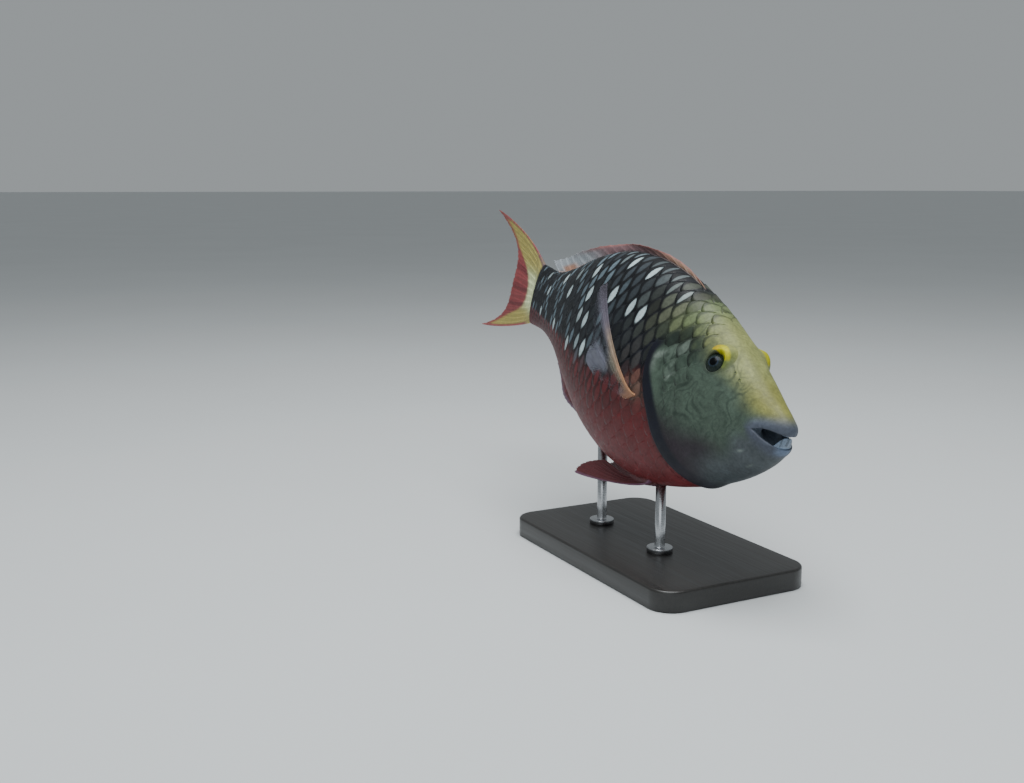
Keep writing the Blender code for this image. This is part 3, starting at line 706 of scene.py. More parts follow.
@dataclass(frozen=True)
class Eye:
    """Eyeball, and the fleshy ring that holds it, swollen and yellow above and ahead."""

    body: Body
    side: Side
    place: tuple = (0.185, 0.083)
    radius: float = 6.8 * MM
    depth: float = 4.7 * MM
    pupil: float = 2.1 * MM
    ring: float = 2.6 * MM
    opening: float = 4.7 * MM
    rim: float = 11.0 * MM
    crest: float = 0.25 * MM
    swelling: float = 2.0 * MM
    swollen_way: float = radians(70)
    # yellow spot: degrees round the eye, and its inner and outer edge there in millimetres
    spot: tuple = ((20.0, 60.0, 90.0, 130.0), (4.8, 4.0, 4.4, 6.8), (8.0, 7.8, 8.5, 10.2))
    left_spot_wider: float = 1.6 * MM
    black: str = "#030406"
    iris: tuple = ("#18211E", "#28312C")
    iris_green: str = "#3E4F1E"
    # ring round the pupil: partly the iris's own colour, partly a painted glint
    iris_ring_and_glint: str = "#2B3548"
    # painted shade where the ring dips in round the eyeball
    fold: str = "#101513"

    def frame(self) -> tuple[Array, Array, Array, Array]:
        """Middle of the eyeball, the way it looks, and the ways ahead and up across it.

        Returns:
            The middle in metres and three unit vectors.
        """
        u, z = self.place
        angle = self.body.angle_at(u, z, self.side)
        out = self.body.normal(u, angle)
        middle = self.body.skin(u, angle) - out * self.depth
        ahead = unit(np.array([1.0, 0, 0]) - out * out[0])
        up = np.cross(out, ahead) * -self.side.value
        return middle, out, ahead, up

    def build_ball(self, material: Material) -> Piece:
        """Ball of rings round the way the eye looks, coloured by the distance from the pupil's middle.

        Args:
            material: the eye's finish.

        Returns:
            The eyeball.
        """
        middle, out, ahead, up = self.frame()
        rings, around = 72, 72
        tilt = np.linspace(0, pi, rings + 2)[1:-1, None]
        turn = circle(around)[None]
        spread = np.sin(tilt)[..., None] * (np.cos(turn)[..., None] * ahead + np.sin(turn)[..., None] * up)
        ball = middle + self.radius * (spread + np.cos(tilt)[..., None] * out)
        away = self.radius * np.sin(tilt) + 0 * turn
        away = np.where(tilt < BACK, away, self.radius)
        streak = 0.5 + 0.5 * np.sin(23 * turn + 3 * np.sin(5 * turn))
        upper_front = rise(np.cos(turn - radians(60)), 0.3, 0.9)
        iris = paint(self.iris[0], (self.iris[1], 0.6 * streak + 0 * away),
                     (self.iris_green, 0.6 * upper_front * rise(away, 4.4 * MM, 5.2 * MM)))
        # blue-grey ring round the pupil: partly the iris's own ring, partly a painted glint that is stronger
        # on one side
        ring = 1 - rise(np.abs(away - self.ring), 0.05 * MM, 0.45 * MM)
        glint = mix(iris, self.iris_ring_and_glint, ring * (0.45 + 0.55 * np.cos(turn - 0.6) ** 2))
        tint = mix(self.black, glint, rise(away, self.pupil - 0.1 * MM, self.pupil + 0.1 * MM))
        tint = np.concatenate([tint.reshape(-1, 3), [linear(self.black), iris[-1, 0]]])
        points, faces = lathe(ball, middle + out * self.radius, middle - out * self.radius)
        piece = add_piece(f"eyeball_{self.side.word}", self.body.to_row(points), faces, material,
                          {"tint": tint})
        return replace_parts(piece, f"eye_{self.side.word}")

    def spot_shade(self, degrees: Array, away: Array) -> Array:
        """Strength of the yellow spot: inside both its edges, and between its two ends.

        Args:
            degrees: degrees round the eye.
            away: distances from the eye's middle.

        Returns:
            Strength from 0 to 1.
        """
        inner, outer = (held_curve((self.spot[0], edge), degrees) * MM for edge in self.spot[1:])
        outer = outer + (self.left_spot_wider if self.side is Side.LEFT else 0.0)
        yellow = rise(away - inner, -0.3 * MM, 0.5 * MM) * (1 - rise(away - outer, -0.6 * MM, 0.3 * MM))
        return yellow * rise(degrees, 14, 28) * fall(degrees, 126, 138)

    def build_orbit(self, markings: Markings, material: Material) -> Piece:
        """Ring of flesh: its profile climbs from the skin, rolls over and dips in round the eyeball, where
        its colour is darkened as painted shade.

        Args:
            markings: the fish's colours.
            material: the skin's finish.

        Returns:
            The ring.
        """
        body = self.body
        around = 144
        turn = circle(around)[None]
        swollen = rise(np.cos(turn - self.swollen_way), -0.35, 0.95)
        crest = self.crest + (self.swelling - self.crest) * swollen
        share = np.linspace(0, 1, 24)[:, None]
        width = self.rim * (0.75 + 0.25 * swollen)
        roll = rise(share, 0.0, 0.20) * (1 - rise(share, 0.38, 1.0))
        away = self.opening + (width - self.opening) * share
        height = crest * roll - 0.35 * MM * share - 1.0 * MM * (1 - rise(share, 0.0, 0.10))
        u, angle = body.round_place(self.place, away, turn, self.side)
        normal = body.normal(u, angle)
        lifted = height + body.head_lift(u, angle)
        top = body.skin(u, angle) + normal * lifted[..., None]
        under = body.skin(u[::-1], angle[::-1]) - normal[::-1] * 2.0 * MM
        points = np.concatenate([top, under])
        plain = markings.colour(u, angle)
        yellow = self.spot_shade(np.degrees(turn), away)
        ahead = rise(np.cos(turn - radians(20)), 0.75, 0.95) * (1 - rise(share, 0.3, 0.9))
        orange = yellow * rise(np.cos(turn - radians(132)), 0.80, 0.97)
        # painted shade: the ring darker towards its inner edge and nearly black where it dips in round the
        # eyeball
        colour = paint(plain * 0.6, (plain, rise(share, 0.1, 0.6) + 0 * turn),
                       (markings.eye_green, 0.7 * ahead),
                       (markings.eye_yellow, yellow),
                       (markings.eye_orange, 0.6 * orange),
                       (self.fold, (1 - rise(share, 0.02, 0.10)) * (1 - 0.6 * yellow)))
        faces = [grid_quads(2 * len(share), around, wrap_rows=True, wrap_columns=True)]
        tint = np.concatenate([colour, colour[::-1]])
        return add_piece(f"orbit_{self.side.word}", body.to_row(points), faces, material,
                         {"tint": tint}, {"lines": np.zeros(points.shape[:2])})


@dataclass(frozen=True)
class Strip:
    """Rows of the skin: their points, linear colours and strength of the winding lines."""

    points: Array
    tint: Array
    lines: Array | float = 0.0


@dataclass(frozen=True)
class Skin:
    """One skin over head, trunk and tail stalk, with the mouth's lining and the gill covers."""

    body: Body
    markings: Markings
    mouth: Mouth
    eyes: tuple
    around: int = 224
    snout_end: float = 0.125
    lip_crest: float = 0.38
    lip_fade: float = 1.3
    lip_rows: int = 20
    snout_rows: int = 34
    head_rows: int = 64
    trunk_rows: int = 92
    core: tuple = (0.130, 0.0, -0.008)
    # painted highlight along the front of the lower lip
    lip_front_highlight: str = "#6A7A92"
    # the free edge of the gill cover turned in: millimetres ahead and into the body, row by row
    cover_turn: tuple = ((-0.25, 0.25), (-0.2, 0.6), (0.3, 0.95), (1.6, 1.5), (2.6, 2.2))
    cover_tuck: float = 0.9 * MM
    bound: float = 0.03       # what is left of that turn where the cover is grown to the nape
    socket_depth: float = 3.4 * MM
    # rows that close the tail's end, as shares of its half height
    stump_rows: tuple = (0.9, 0.6, 0.25)
    stump_sunk: float = 0.002

    def lining(self, turn: Array) -> Strip:
        """Walls of the mouth: dark inside, with gums in the lips' colour that give way to the dark lining at
        the corners as painted shade.

        Args:
            turn: angles round the mouth.

        Returns:
            The rows from the throat to the lips.
        """
        look = self.markings
        rings = self.mouth.inner_rings(turn)
        # painted shade: the gums fade into the dark lining towards the mouth's corners
        gum_clear_of_shade = rise(np.arange(len(rings)), 4.0, 9.0)[:, None] * rise(np.abs(np.sin(turn)), 0.25, 0.65)
        return Strip(rings, mix(linear(look.mouth) + 0 * rings, linear(look.lip) * 1.2, gum_clear_of_shade))

    def snout_shape(self, turn: Array) -> tuple[Array, Array]:
        """Rows of the snout, from the mouth's edge back to the first full ring.

        Rays fan out from a point inside the head, from the mouth's edge to the ring, and each row
        lies where they leave the skin. The lip rises as a quarter circle and fades out.

        Args:
            turn: angles round the mouth and the body.

        Returns:
            The rows of points, and how far each is along its lip (past 1 beyond the lip).
        """
        core = self.body.place(*self.core)
        first = unit(self.mouth.line(turn) - core)
        last = unit(self.body.skin(np.full_like(turn, self.snout_end), turn) - core)
        share = np.linspace(0, 1, 240)[:, None, None] ** 1.5
        fine = self.body.reach_from(core, unit(first * (1 - share) + last * share))
        fine[0] = self.mouth.line(turn)
        steps = np.linalg.norm(np.diff(fine, axis=0), axis=-1)
        run = np.concatenate([np.zeros((1, len(turn))), np.cumsum(steps, axis=0)])
        around = np.roll(fine, -1, axis=1) - np.roll(fine, 1, axis=1)
        normals = unit(np.cross(around, np.gradient(fine, axis=0)))
        normals *= np.sign((normals * (fine - core)).sum(-1, keepdims=True))
        width, height = self.mouth.lip_size(turn)
        over = self.lip_fade * (1 - np.cos(np.linspace(0, pi, self.lip_rows))) / 2
        rest = np.linspace(0, 1, self.snout_rows + 1)[1:, None]
        wide = self.lip_fade * width
        wanted = np.concatenate([width * over[:, None], wide + (run[-1] - wide) * rest])
        after = np.clip((run[None] < wanted[:, None]).sum(1), 1, len(run) - 1)
        columns = np.arange(len(turn))[None]
        before = run[after - 1, columns]
        part = ((wanted - before) / (run[after, columns] - before))[..., None]
        points = fine[after - 1, columns] * (1 - part) + fine[after, columns] * part
        normal = unit(normals[after - 1, columns] * (1 - part) + normals[after, columns] * part)
        along = wanted / width
        climb = np.sqrt(1 - (1 - np.clip(along / self.lip_crest, 0, 1)) ** 2)
        bulge = height * climb * (1 - ease((along - self.lip_crest) / (self.lip_fade - self.lip_crest)))
        return points + normal * bulge[..., None], along

    def snout(self, turn: Array) -> Strip:
        """Snout and lips, the lower lip painted darker as shade, with a painted pale blue highlight along its
        front.

        Args:
            turn: angles round the mouth and the body.

        Returns:
            The rows from the mouth's edge to the first full ring.
        """
        look = self.markings
        points, along = self.snout_shape(turn)
        u, c, s = self.body.across(points)
        angle = np.arctan2(s, c)
        front = fall(np.abs(np.cos(turn)), 0.02, 0.42) * fall(np.sin(turn), -0.5, 0.0)
        # painted shade: the lower lip a darker copy of the lip's colour; painted highlight: pale blue along
        # its front
        lip = paint(look.lip, (linear(look.lip) * 0.85, fall(np.sin(turn), -0.2, 0.2) + 0 * along),
                    (self.lip_front_highlight, 0.85 * front * fall(along, 0.2, 1.1)))
        tint = mix(look.colour(u, angle), lip, 1 - rise(along, 0.45, 1.75))
        return Strip(points, tint, look.lines(u, angle) * rise(along, 1.0, 1.4))

    def head(self, turn: Array) -> list[Strip]:
        """Head back to the gill cover's edge, and the cover's inner side, which turns in under it.

        Args:
            turn: angles round the body.

        Returns:
            The rows of both.
        """
        body, look = self.body, self.markings
        margin = body.margin(turn)
        share = np.linspace(0, 1, self.head_rows + 1)[1:, None]
        u = self.snout_end + (margin - self.snout_end) * share
        angle = np.broadcast_to(turn, u.shape)
        outer = body.skin(u, angle) + body.normal(u, angle) * body.head_lift(u, angle)[..., None]
        out, free = body.normal(margin, turn), self.free(turn)[:, None]
        inner = np.array([outer[-1] + free * MM * (FORWARD * ahead - out * down)
                          for ahead, down in self.cover_turn])
        below = mix(look.colour(u[-1], turn) + 0 * inner, look.gill_band, body.flap(turn) + 0 * inner[..., 0])
        return [Strip(outer, look.colour(u, angle), look.lines(u, angle)), Strip(inner, below)]

    def free(self, turn: Array) -> Array:
        """How freely the gill cover stands off at an angle round the body."""
        return self.bound + (1 - self.bound) * self.body.flap(turn)

    def trunk(self, turn: Array) -> list[Strip]:
        """Trunk and tail stalk, tucked in under the gill cover, and the rows that close the end.

        Args:
            turn: angles round the body.

        Returns:
            The rows of both.
        """
        body, look = self.body, self.markings
        margin = body.margin(turn)
        share = np.concatenate([[0.004, 0.009], np.linspace(0, 1, self.trunk_rows)[1:]])[:, None]
        u = margin + (1.0 - margin) * share
        tuck = self.cover_tuck * self.free(turn) * (1 - rise(share, 0.0, 0.03))
        angle = np.broadcast_to(turn, u.shape)
        rows = body.skin(u, angle, -tuck)
        tint = look.colour(u, angle)
        stump = self.stump()
        caps = np.array([stump + (rows[-1] - stump) * k for k in self.stump_rows])
        return [Strip(rows, tint), Strip(caps, np.broadcast_to(tint[-1], caps.shape))]

    def stump(self) -> Array:
        """Middle of the tail stalk's end."""
        return self.body.place(1.0 - self.stump_sunk, 0.0, self.body.section(1.0)[2])

    def sink_sockets(self, points: Array) -> Array:
        """Skin pushed down into a bowl under each eyeball.

        Args:
            points: the skin's points.

        Returns:
            The points, moved along the way each eye looks.
        """
        for eye in self.eyes:
            middle, out, _, _ = eye.frame()
            offset = points - middle
            ahead = (offset * out).sum(-1)
            away = np.linalg.norm(offset - ahead[..., None] * out, axis=-1)
            depth = self.socket_depth * (1 - rise(away, eye.opening - 0.6 * MM, eye.opening + 1.8 * MM))
            points = points - out * (depth * (ahead > 0))[..., None]
        return points

    def build(self, material: Material) -> Piece:
        """Joins mouth, snout, head, gill cover's inner side and trunk, row by row.

        Args:
            material: the skin's finish.

        Returns:
            The skin.
        """
        body = self.body
        turn = circle(self.around)
        strips = [self.lining(turn), self.snout(turn), *self.head(turn), *self.trunk(turn)]
        rows = self.sink_sockets(np.concatenate([strip.points for strip in strips]))
        tint = np.concatenate([strip.tint for strip in strips])
        tint = np.concatenate([tint.reshape(-1, 3), [linear(self.markings.mouth), tint[-1, 0]]])
        lines = np.concatenate([np.broadcast_to(strip.lines, strip.points.shape[:2]) for strip in strips])
        points, faces = lathe(rows, body.place(*self.mouth.throat), self.stump())
        piece = add_piece("skin", body.to_row(points), faces, material, {"tint": tint},
                          {"lines": np.concatenate([lines.ravel(), [0, 0]])})
        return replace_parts(piece, "head", "trunk", "tail_stalk")


@dataclass(frozen=True)
class ScaleCoat:
    """Overlapping scales of one side, laid in staggered columns from the nape to the tail."""

    body: Body
    markings: Markings
    side: Side
    first_u: float = 0.110
    last_u: float = 0.990
    # distance between the scales of a row, and between rows in millimetres, at places along the fish
    knots: tuple = (0.15, 0.30, 0.45, 0.65, 0.80, 0.90, 1.00)
    pitch: tuple = (0.026, 0.035, 0.037, 0.033, 0.028, 0.024, 0.020)
    row_gap: tuple = (5.2, 7.3, 7.9, 7.0, 5.8, 5.0, 4.4)
    rows_each_way: int = 15
    # rows of points along a scale, in pitches from its middle, from the root to the tip
    steps: tuple = (-0.78, -0.10, 0.22, 0.42, 0.55, 0.61)
    across_points: int = 7
    lean: float = 0.15        # how far each row lies ahead of the one below it, in pitches
    thickness: float = 0.14 * MM
    sunk: float = 0.13 * MM
    sunk_ahead: float = 0.45 * MM
    stand_off: float = 0.45 * MM
    patch: float = 0.003
    covered: float = 0.014    # scales whose middle lies this far ahead of the gill cover's edge are on it
    nape_height: float = 0.5  # above this height the scales run on over the nape
    head_start: float = 0.205
    seed: int = 7
    # pale lozenge on a scale: its middle along it, half length and half width, in the scale's measures
    lozenge: tuple = (0.11, 0.38, 0.95)
    grey: tuple = ("#31373C", "#181C23", "#4D503C")
    streak: str = "#687983"
    streak_share: float = 0.36
    armpit_grey: str = "#423F3E"
    white_colour: str = "#AEBFC2"
    half_height: float = 55 * MM
    # white scales: u, degrees above the widest line, strength
    white: tuple = (
        (0.395, 33.3, 1.0), (0.344, 65.7, 0.45), (0.431, 65.7, 1.0), (0.510, 61.8, 1.0),
        (0.640, 53.7, 1.0), (0.452, 34.8, 0.95), (0.504, 33.0, 1.0), (0.608, 28.5, 1.0),
        (0.731, 22.8, 0.95), (0.875, 29.1, 0.9), (0.766, -8.7, 0.9), (0.649, -7.8, 0.9),
        (0.550, -3.0, 1.0), (0.580, 2.0, 0.45), (0.567, 16.2, 0.8), (0.599, 15.3, 0.65),
        (0.795, 40.8, 0.9), (0.897, -12.6, 0.8), (0.533, 62.4, 0.25), (0.373, 69.3, 0.16),
        (0.392, 81.5, 0.10), (0.590, 77.0, 0.16), (0.560, 76.0, 0.16), (0.535, 85.0, 0.14),
        (0.361, 83.4, 0.10), (0.922, 53.1, 0.5), (0.700, 47.0, 0.4), (0.449, 83.0, 0.12),
        (0.416, 80.5, 0.12))

    def arc_table(self) -> tuple[Array, Array, Array, Array]:
        """Angle round the body as a function of u and of the distance round it from the side.

        Returns:
            The u values, the distances, the table of angles above the widest line, and the
            distances of belly and back at each u.
        """
        u = np.linspace(0.10, 1.06, 97)
        turn = np.radians(np.linspace(-140, 140, 281))
        points = self.body.skin(u[:, None], turn[None])
        steps = np.linalg.norm(np.diff(points, axis=1), axis=-1)
        run = np.concatenate([np.zeros((len(u), 1)), np.cumsum(steps, axis=1)], axis=1)
        run -= run[:, len(turn) // 2][:, None]
        distance = np.linspace(-0.115, 0.115, 461)
        table = np.array([np.interp(distance, row, turn) for row in run])
        limits = np.array([[np.interp(angle, turn, row) for angle in (-BACK, BACK)] for row in run])
        return u, distance, table, limits

    def angle_for(self, arcs: tuple, u: Array, distance: Array) -> Array:
        """Angle above the widest line, read from the table between its four nearest entries.

        Args:
            arcs: the table.
            u: places along the fish.
            distance: distances round the body, in metres.

        Returns:
            The angles.
        """
        knots, distances, table, _ = arcs
        i = np.clip((u - knots[0]) / (knots[1] - knots[0]), 0, len(knots) - 1.001)
        j = np.clip((distance - distances[0]) / (distances[1] - distances[0]), 0, len(distances) - 1.001)
        low_i, low_j = i.astype(int), j.astype(int)
        i, j = i - low_i, j - low_j
        near = table[low_i, low_j] * (1 - j) + table[low_i, low_j + 1] * j
        far = table[low_i + 1, low_j] * (1 - j) + table[low_i + 1, low_j + 1] * j
        return near * (1 - i) + far * i

    def centres(self, arcs: tuple) -> tuple[Array, Array]:
        """Middles of the scales: half a pitch between columns, every second row in each.

        Args:
            arcs: the table of angles.

        Returns:
            u and the distance round the body of each scale.
        """
        walk = np.linspace(self.first_u, self.last_u + 0.06, 2000)
        passed = 2 / curve(self.knots, self.pitch, walk[:-1]) * np.diff(walk)
        count = np.concatenate([[0], np.cumsum(passed)])
        columns = np.interp(np.arange(int(count[-1])), count, walk)
        rows = np.arange(-self.rows_each_way, self.rows_each_way + 1)
        i, j = np.meshgrid(np.arange(len(columns)), np.arange(len(rows)), indexing="ij")
        u = columns[i]
        u = np.clip(u - self.lean * rows[j] * curve(self.knots, self.pitch, u), 0.10, self.last_u)
        gap = curve(self.knots, self.row_gap, u) * MM
        pitch = curve(self.knots, self.pitch, u)
        distance = rows[j] * gap
        low, high = (np.interp(u, arcs[0], arcs[3][:, k]) for k in (0, 1))
        angle = self.angle_for(arcs, u, distance)
        margin, height = self.body.margin(angle), np.sin(angle)
        on_head = u > self.head_start
        on_trunk = u + 0.35 * pitch > margin
        on_nape = (height > self.nape_height) & on_head
        on_cover = (u + self.steps[-1] * pitch < margin - 0.030) & on_head & (np.abs(height + 0.12) < 0.63)
        keep = ((i + j) % 2 == 0) & (u < self.last_u)
        keep &= (distance > low + 0.2 * gap) & (distance < high - 0.1 * gap)
        keep &= on_trunk | on_nape | on_cover
        return u[keep], distance[keep]

    def middles(self, u: Array, turn: Array, random: np.random.Generator) -> tuple[Array, Array, Array]:
        """Colour of each scale's middle, how strongly it shows, and how much of the scale it fills.

        Args:
            u: middles of the scales along the fish.
            turn: their angles above the widest line.
            random: source of the small differences between scales.

        Returns:
            Linear colours, strengths and sizes.
        """
        look, count = self.markings, len(u)
        height, margin = np.sin(turn), self.body.margin(turn)
        red, high = look.redness(u, height), height > self.nape_height
        front = rise(-u - 0.10 * (height - 0.75), -0.45, -0.28) * rise(height, 0.25, 0.65)
        head = np.where(high, rise(margin - u, -0.02, 0.03), margin - u > self.covered)
        grey = paint(self.grey[0], (self.grey[1], rise(u, 0.45, 0.75)), (self.grey[2], front))
        grey = grey * (random.uniform(0.30, 1.60, count) * (0.55 + 0.50 * rise(height, 0.45, 0.80)))[:, None]
        streaks = (random.random(count) < self.streak_share) * rise(u, 0.44, 0.56)
        streaks = streaks * random.uniform(0.25, 0.85, count)
        middle = paint(grey, (self.streak, streaks),
                       (self.armpit_grey, look.blot(u, height, (0.38, 0.24), (0.03, 0.12))),
                       (look.trunk(u, height) * random.uniform(0.95, 1.25, count)[:, None], red),
                       (look.head(u, height) * np.where(high, 1.15, 1.02)[:, None], head))
        strength = 0.95 - red * (0.10 + 0.75 * rise(look.depth(u, height), 0.10, 0.60))
        on_head = np.where(high, 0.95 - 0.35 * fall(u, 0.21, 0.28), 0.9)
        strength = strength + (on_head - strength) * head
        size = 1.0 - 0.34 * rise(u, 0.38, 0.50)
        for u_white, degrees, share in self.white:
            aside = (turn - radians(degrees)) * self.half_height
            k = np.argmin(np.hypot((u - u_white) * self.body.length, aside))
            middle[k] += (linear(self.white_colour) - middle[k]) * share
            strength[k] = 1.0
            size[k] = 0.60 + 0.18 * share - 0.20 * rise(height[k], 0.80, 0.95)
        return middle, strength, size

    def border(self, depth: Array, height: Array, on_cover: Array) -> Array:
        """How light the border of each scale is against the skin's colour."""
        flank = 0.70 - 0.42 * rise(depth, -0.05, 0.05) + 0.62 * rise(depth, 0.12, 0.60)
        return np.where(height > self.nape_height, 0.45, np.where(on_cover, 0.86, flank))

    def build(self, material: Material) -> Piece:
        """Lays the scales as thin curved plates whose roots lie under the scales before them.

        A scale is as wide as two rows up to its middle and runs out to a blunt lozenge's tip, and it
        tilts from its sunken root to its free edge and sags towards its two sides.

        Args:
            material: the scales' finish.

        Returns:
            The coat of this side.
        """
        body, look = self.body, self.markings
        random = np.random.default_rng(self.seed)
        arcs = self.arc_table()
        u, distance = self.centres(arcs)
        turn = self.angle_for(arcs, u, distance)
        each = (len(u), 1, 1)
        pitch = curve(self.knots, self.pitch, u).reshape(each)
        gap = curve(self.knots, self.row_gap, u).reshape(each) * MM
        x = np.array(self.steps)[None, :, None]
        free = np.clip(x / (self.steps[-1] * 1.03), 0, 1)
        oval = (1 - free ** 1.45) ** 0.80 * (1 - 0.25 * np.clip(x / self.steps[0], 0, 1) ** 2)
        y = np.linspace(-1, 1, self.across_points)[None, None] * oval
        stretch = 1 + 0.05 * random.standard_normal(each)
        u_all = u.reshape(each) + (x * stretch - self.lean * y) * pitch
        above = self.angle_for(arcs, u_all, distance.reshape(each) + 1.05 * gap * y)
        angle = above if self.side is Side.LEFT else pi - above
        middle, strength, size = self.middles(u, turn, random)
        tilt = self.stand_off * (1 + 0.06 * random.standard_normal(each))
        low = np.sin(turn) < self.nape_height
        on_cover = low & (body.margin(turn) - u > self.covered)
        red = look.redness(u, np.sin(turn))
        calm = np.where(on_cover, 0.55, 1 - 0.74 * red)
        calm = (calm * (0.45 + 0.55 * rise(u, 0.21, 0.32))).reshape(each)
        along = (x - self.steps[0]) / (self.steps[-1] - self.steps[0])
        deeper = self.sunk_ahead * fall(u, 0.22, 0.27).reshape(each)
        sag = 0.04 * calm + 0.11 * red.reshape(each)
        height = calm * (tilt + self.sunk) * along - self.sunk * calm - sag * MM * y ** 2
        height = height - deeper * (1 - along) ** 2
        over_nape = (u_all < body.margin(angle)) & (body.flap(angle) < 0.5)
        over_head = on_cover.reshape(each) | over_nape
        height = height + np.where(over_head, body.head_lift(u_all, angle), 0.0)
        upper = body.skin(u_all, angle, height)
        lower = body.skin(u_all, angle, height - self.thickness)
        _, faces = plate(upper[0], lower[0])
        points = np.stack([upper, lower], 1)
        shift = (np.arange(len(u)) * (points[0].size // 3)).reshape(each)
        faces = [(block[None] + shift).reshape(-1, 4) for block in faces]
        shape = points.shape[:-1]
        border = self.border(look.depth(u, np.sin(turn)), np.sin(turn), on_cover).reshape(*each, 1)
        tint = np.broadcast_to((look.colour(u_all, angle) * border)[:, None], (*shape, 3))
        marks = {"along": (x - self.lozenge[0]) / (self.lozenge[1] * size.reshape(each)),
                 "across": y / self.lozenge[2], "strength": strength.reshape(each),
                 "lines": look.lines(u_all, angle) * 0.9}
        marks = {key: np.broadcast_to(value[:, None], shape) for key, value in marks.items()}
        centre = np.broadcast_to(middle[:, None, None, None], (*shape, 3))
        # the bake map: each scale a small patch at its root's place on the skin unrolled
        root = np.stack([(u - 0.1) / 0.95, distance / 0.22 + 0.5], -1)[:, None, None, None]
        local = np.stack(np.broadcast_arrays(x, y), -1)[:, None]
        bake = np.broadcast_to(root + self.patch / 2 * local, (*shape, 2))
        return add_piece(f"scales_{self.side.word}", body.to_row(points), faces, material,
                         {"tint": tint, "centre": centre}, marks, bake)


class RayStyle(Enum):
    """How the rays of a fin end: whole like spines, or split again and again into fine branches."""

    WHOLE = "whole"
    BRANCHED = "branched"


@dataclass(frozen=True)
class Fin:
    """Rayed fin: a thin plate over its middle surface, with its rays raised on both faces.

    A place on a fin is t, along a ray from the root (0) to the tip (1), and v, across the fin from
    the first ray (0) to the last (1).
    """

    body: Body
    side: Side | None = None
    name: str = "fin_web"
    node: str = "fin"
    slot: str = "red_fin"
    rays: int = 12
    style: RayStyle = RayStyle.BRANCHED
    per_ray: int = 14
    rows: int = 64
    web: float = 0.16 * MM
    ridge: float = 0.30 * MM
    first_ridge: float = 0.30 * MM
    root_thick: float = 0.8 * MM
    root_reach: float = 0.16
    scallop: float = 0.03
    sink: float = 0.0
    ray_solidity: float = 0.22
    thinned: float = 0.1

    def surface(self, t: Array, v: Array) -> Array:
        """Points of the middle surface in the fish's frame; each kind of fin has its own."""
        raise NotImplementedError

    def colour(self, t: Array, v: Array) -> Array:
        """Linear colours of the web; each kind of fin has its own."""
        raise NotImplementedError

    def solidity(self, t: Array, v: Array) -> Array:
        """How little of what lies behind shows through: less towards the tip."""
        return 1.0 - self.thinned * t

    def root_half(self, v: Array) -> Array:
        """Half thickness of the fleshy root across the fin."""
        return self.root_thick + 0 * v

    def ridges(self, t: Array, v: Array) -> Array:
        """Height of the rays, from 0 on the membrane to 1 on a crest.

        A ray is a bell across its width. A branched one parts into two, and then four, whose
        distance grows towards the tip, and fine joints cross it.

        Args:
            t: places along the rays.
            v: places across the fin.

        Returns:
            The heights.
        """
        place = v * (self.rays - 1)
        x = place - np.round(place)
        if self.style is RayStyle.WHOLE:
            return np.exp(-(x / 0.15) ** 2)
        first = 0.20 * rise(t, 0.30, 0.85)
        second = 0.09 * rise(t, 0.60, 1.0)
        width = 0.15 - 0.09 * rise(t, 0.25, 0.75)
        height = np.zeros(np.broadcast(t, v).shape)
        for a in (-1, 1):
            for b in (-1, 1):
                height = np.maximum(height, np.exp(-((x - a * first - b * second) / width) ** 2))
        joints = 1 - 0.22 * rise(np.cos(t * 2 * pi * 34), 0.75, 1.0) * rise(t, 0.2, 0.4)
        return height * joints

    @staticmethod
    def swept(root: Array, lift: Array, tip: Array, t: Array) -> Array:
        """Ray that leaves its root along lift and bends over to its tip, as a cubic.

        Args:
            root: the ray's root.
            lift: the way and strength with which it leaves it.
            tip: the ray's end.
            t: places along it.

        Returns:
            The points.
        """
        h_root = 2 * t ** 3 - 3 * t ** 2 + 1
        h_lift = t ** 3 - 2 * t ** 2 + t
        h_end = t ** 3 - t ** 2
        return root * h_root + tip * (1 - h_root) + lift * h_lift + (tip - root) * 0.8 * h_end

    def build(self, material: Material) -> Piece:
        """Thickens the middle surface to both sides by the membrane, the rays and the root's flare.

        Args:
            material: the fin's finish.

        Returns:
            The fin.
        """
        t = np.linspace(-self.sink, 1, self.rows)[:, None]
        v = np.linspace(0, 1, (self.rays - 1) * self.per_ray + 1)[None]
        crest = self.ridges(np.clip(t, 0, 1), v)
        along = t - self.scallop * (1 - crest) * np.clip(t, 0, 1) ** 4
        middle = self.surface(along, v + 0 * along)
        across = unit(np.cross(np.gradient(middle, axis=0), np.gradient(middle, axis=1)))
        strength = self.ridge + (self.first_ridge - self.ridge) * rise(-v, -1.5 / self.rays, 0.0)
        half = self.web * (1 - 0.45 * t) + strength * crest * (1 - 0.80 * np.clip(t, 0, 1))
        flare = 1 - rise(t, 0.0, self.root_reach)
        half = np.maximum(half, self.root_half(v) * flare)
        offset = across * half[..., None]
        points, faces = plate(middle + offset, middle - offset)
        shown = np.clip(along, 0, 1)
        tint = self.colour(shown, v + 0 * along)
        tint = tint * (0.88 + 0.24 * crest * (1 - 0.5 * shown))[..., None]
        solid = np.clip(self.solidity(shown, v + 0 * along) + self.ray_solidity * crest, 0, 1)
        suffix = f"_{self.side.word}" if self.side else ""
        piece = add_piece(self.name + suffix, self.body.to_row(points), faces, material,
                          {"tint": np.stack([tint, tint])}, {"solidity": np.stack([solid, solid])})
        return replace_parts(piece, self.node + suffix)


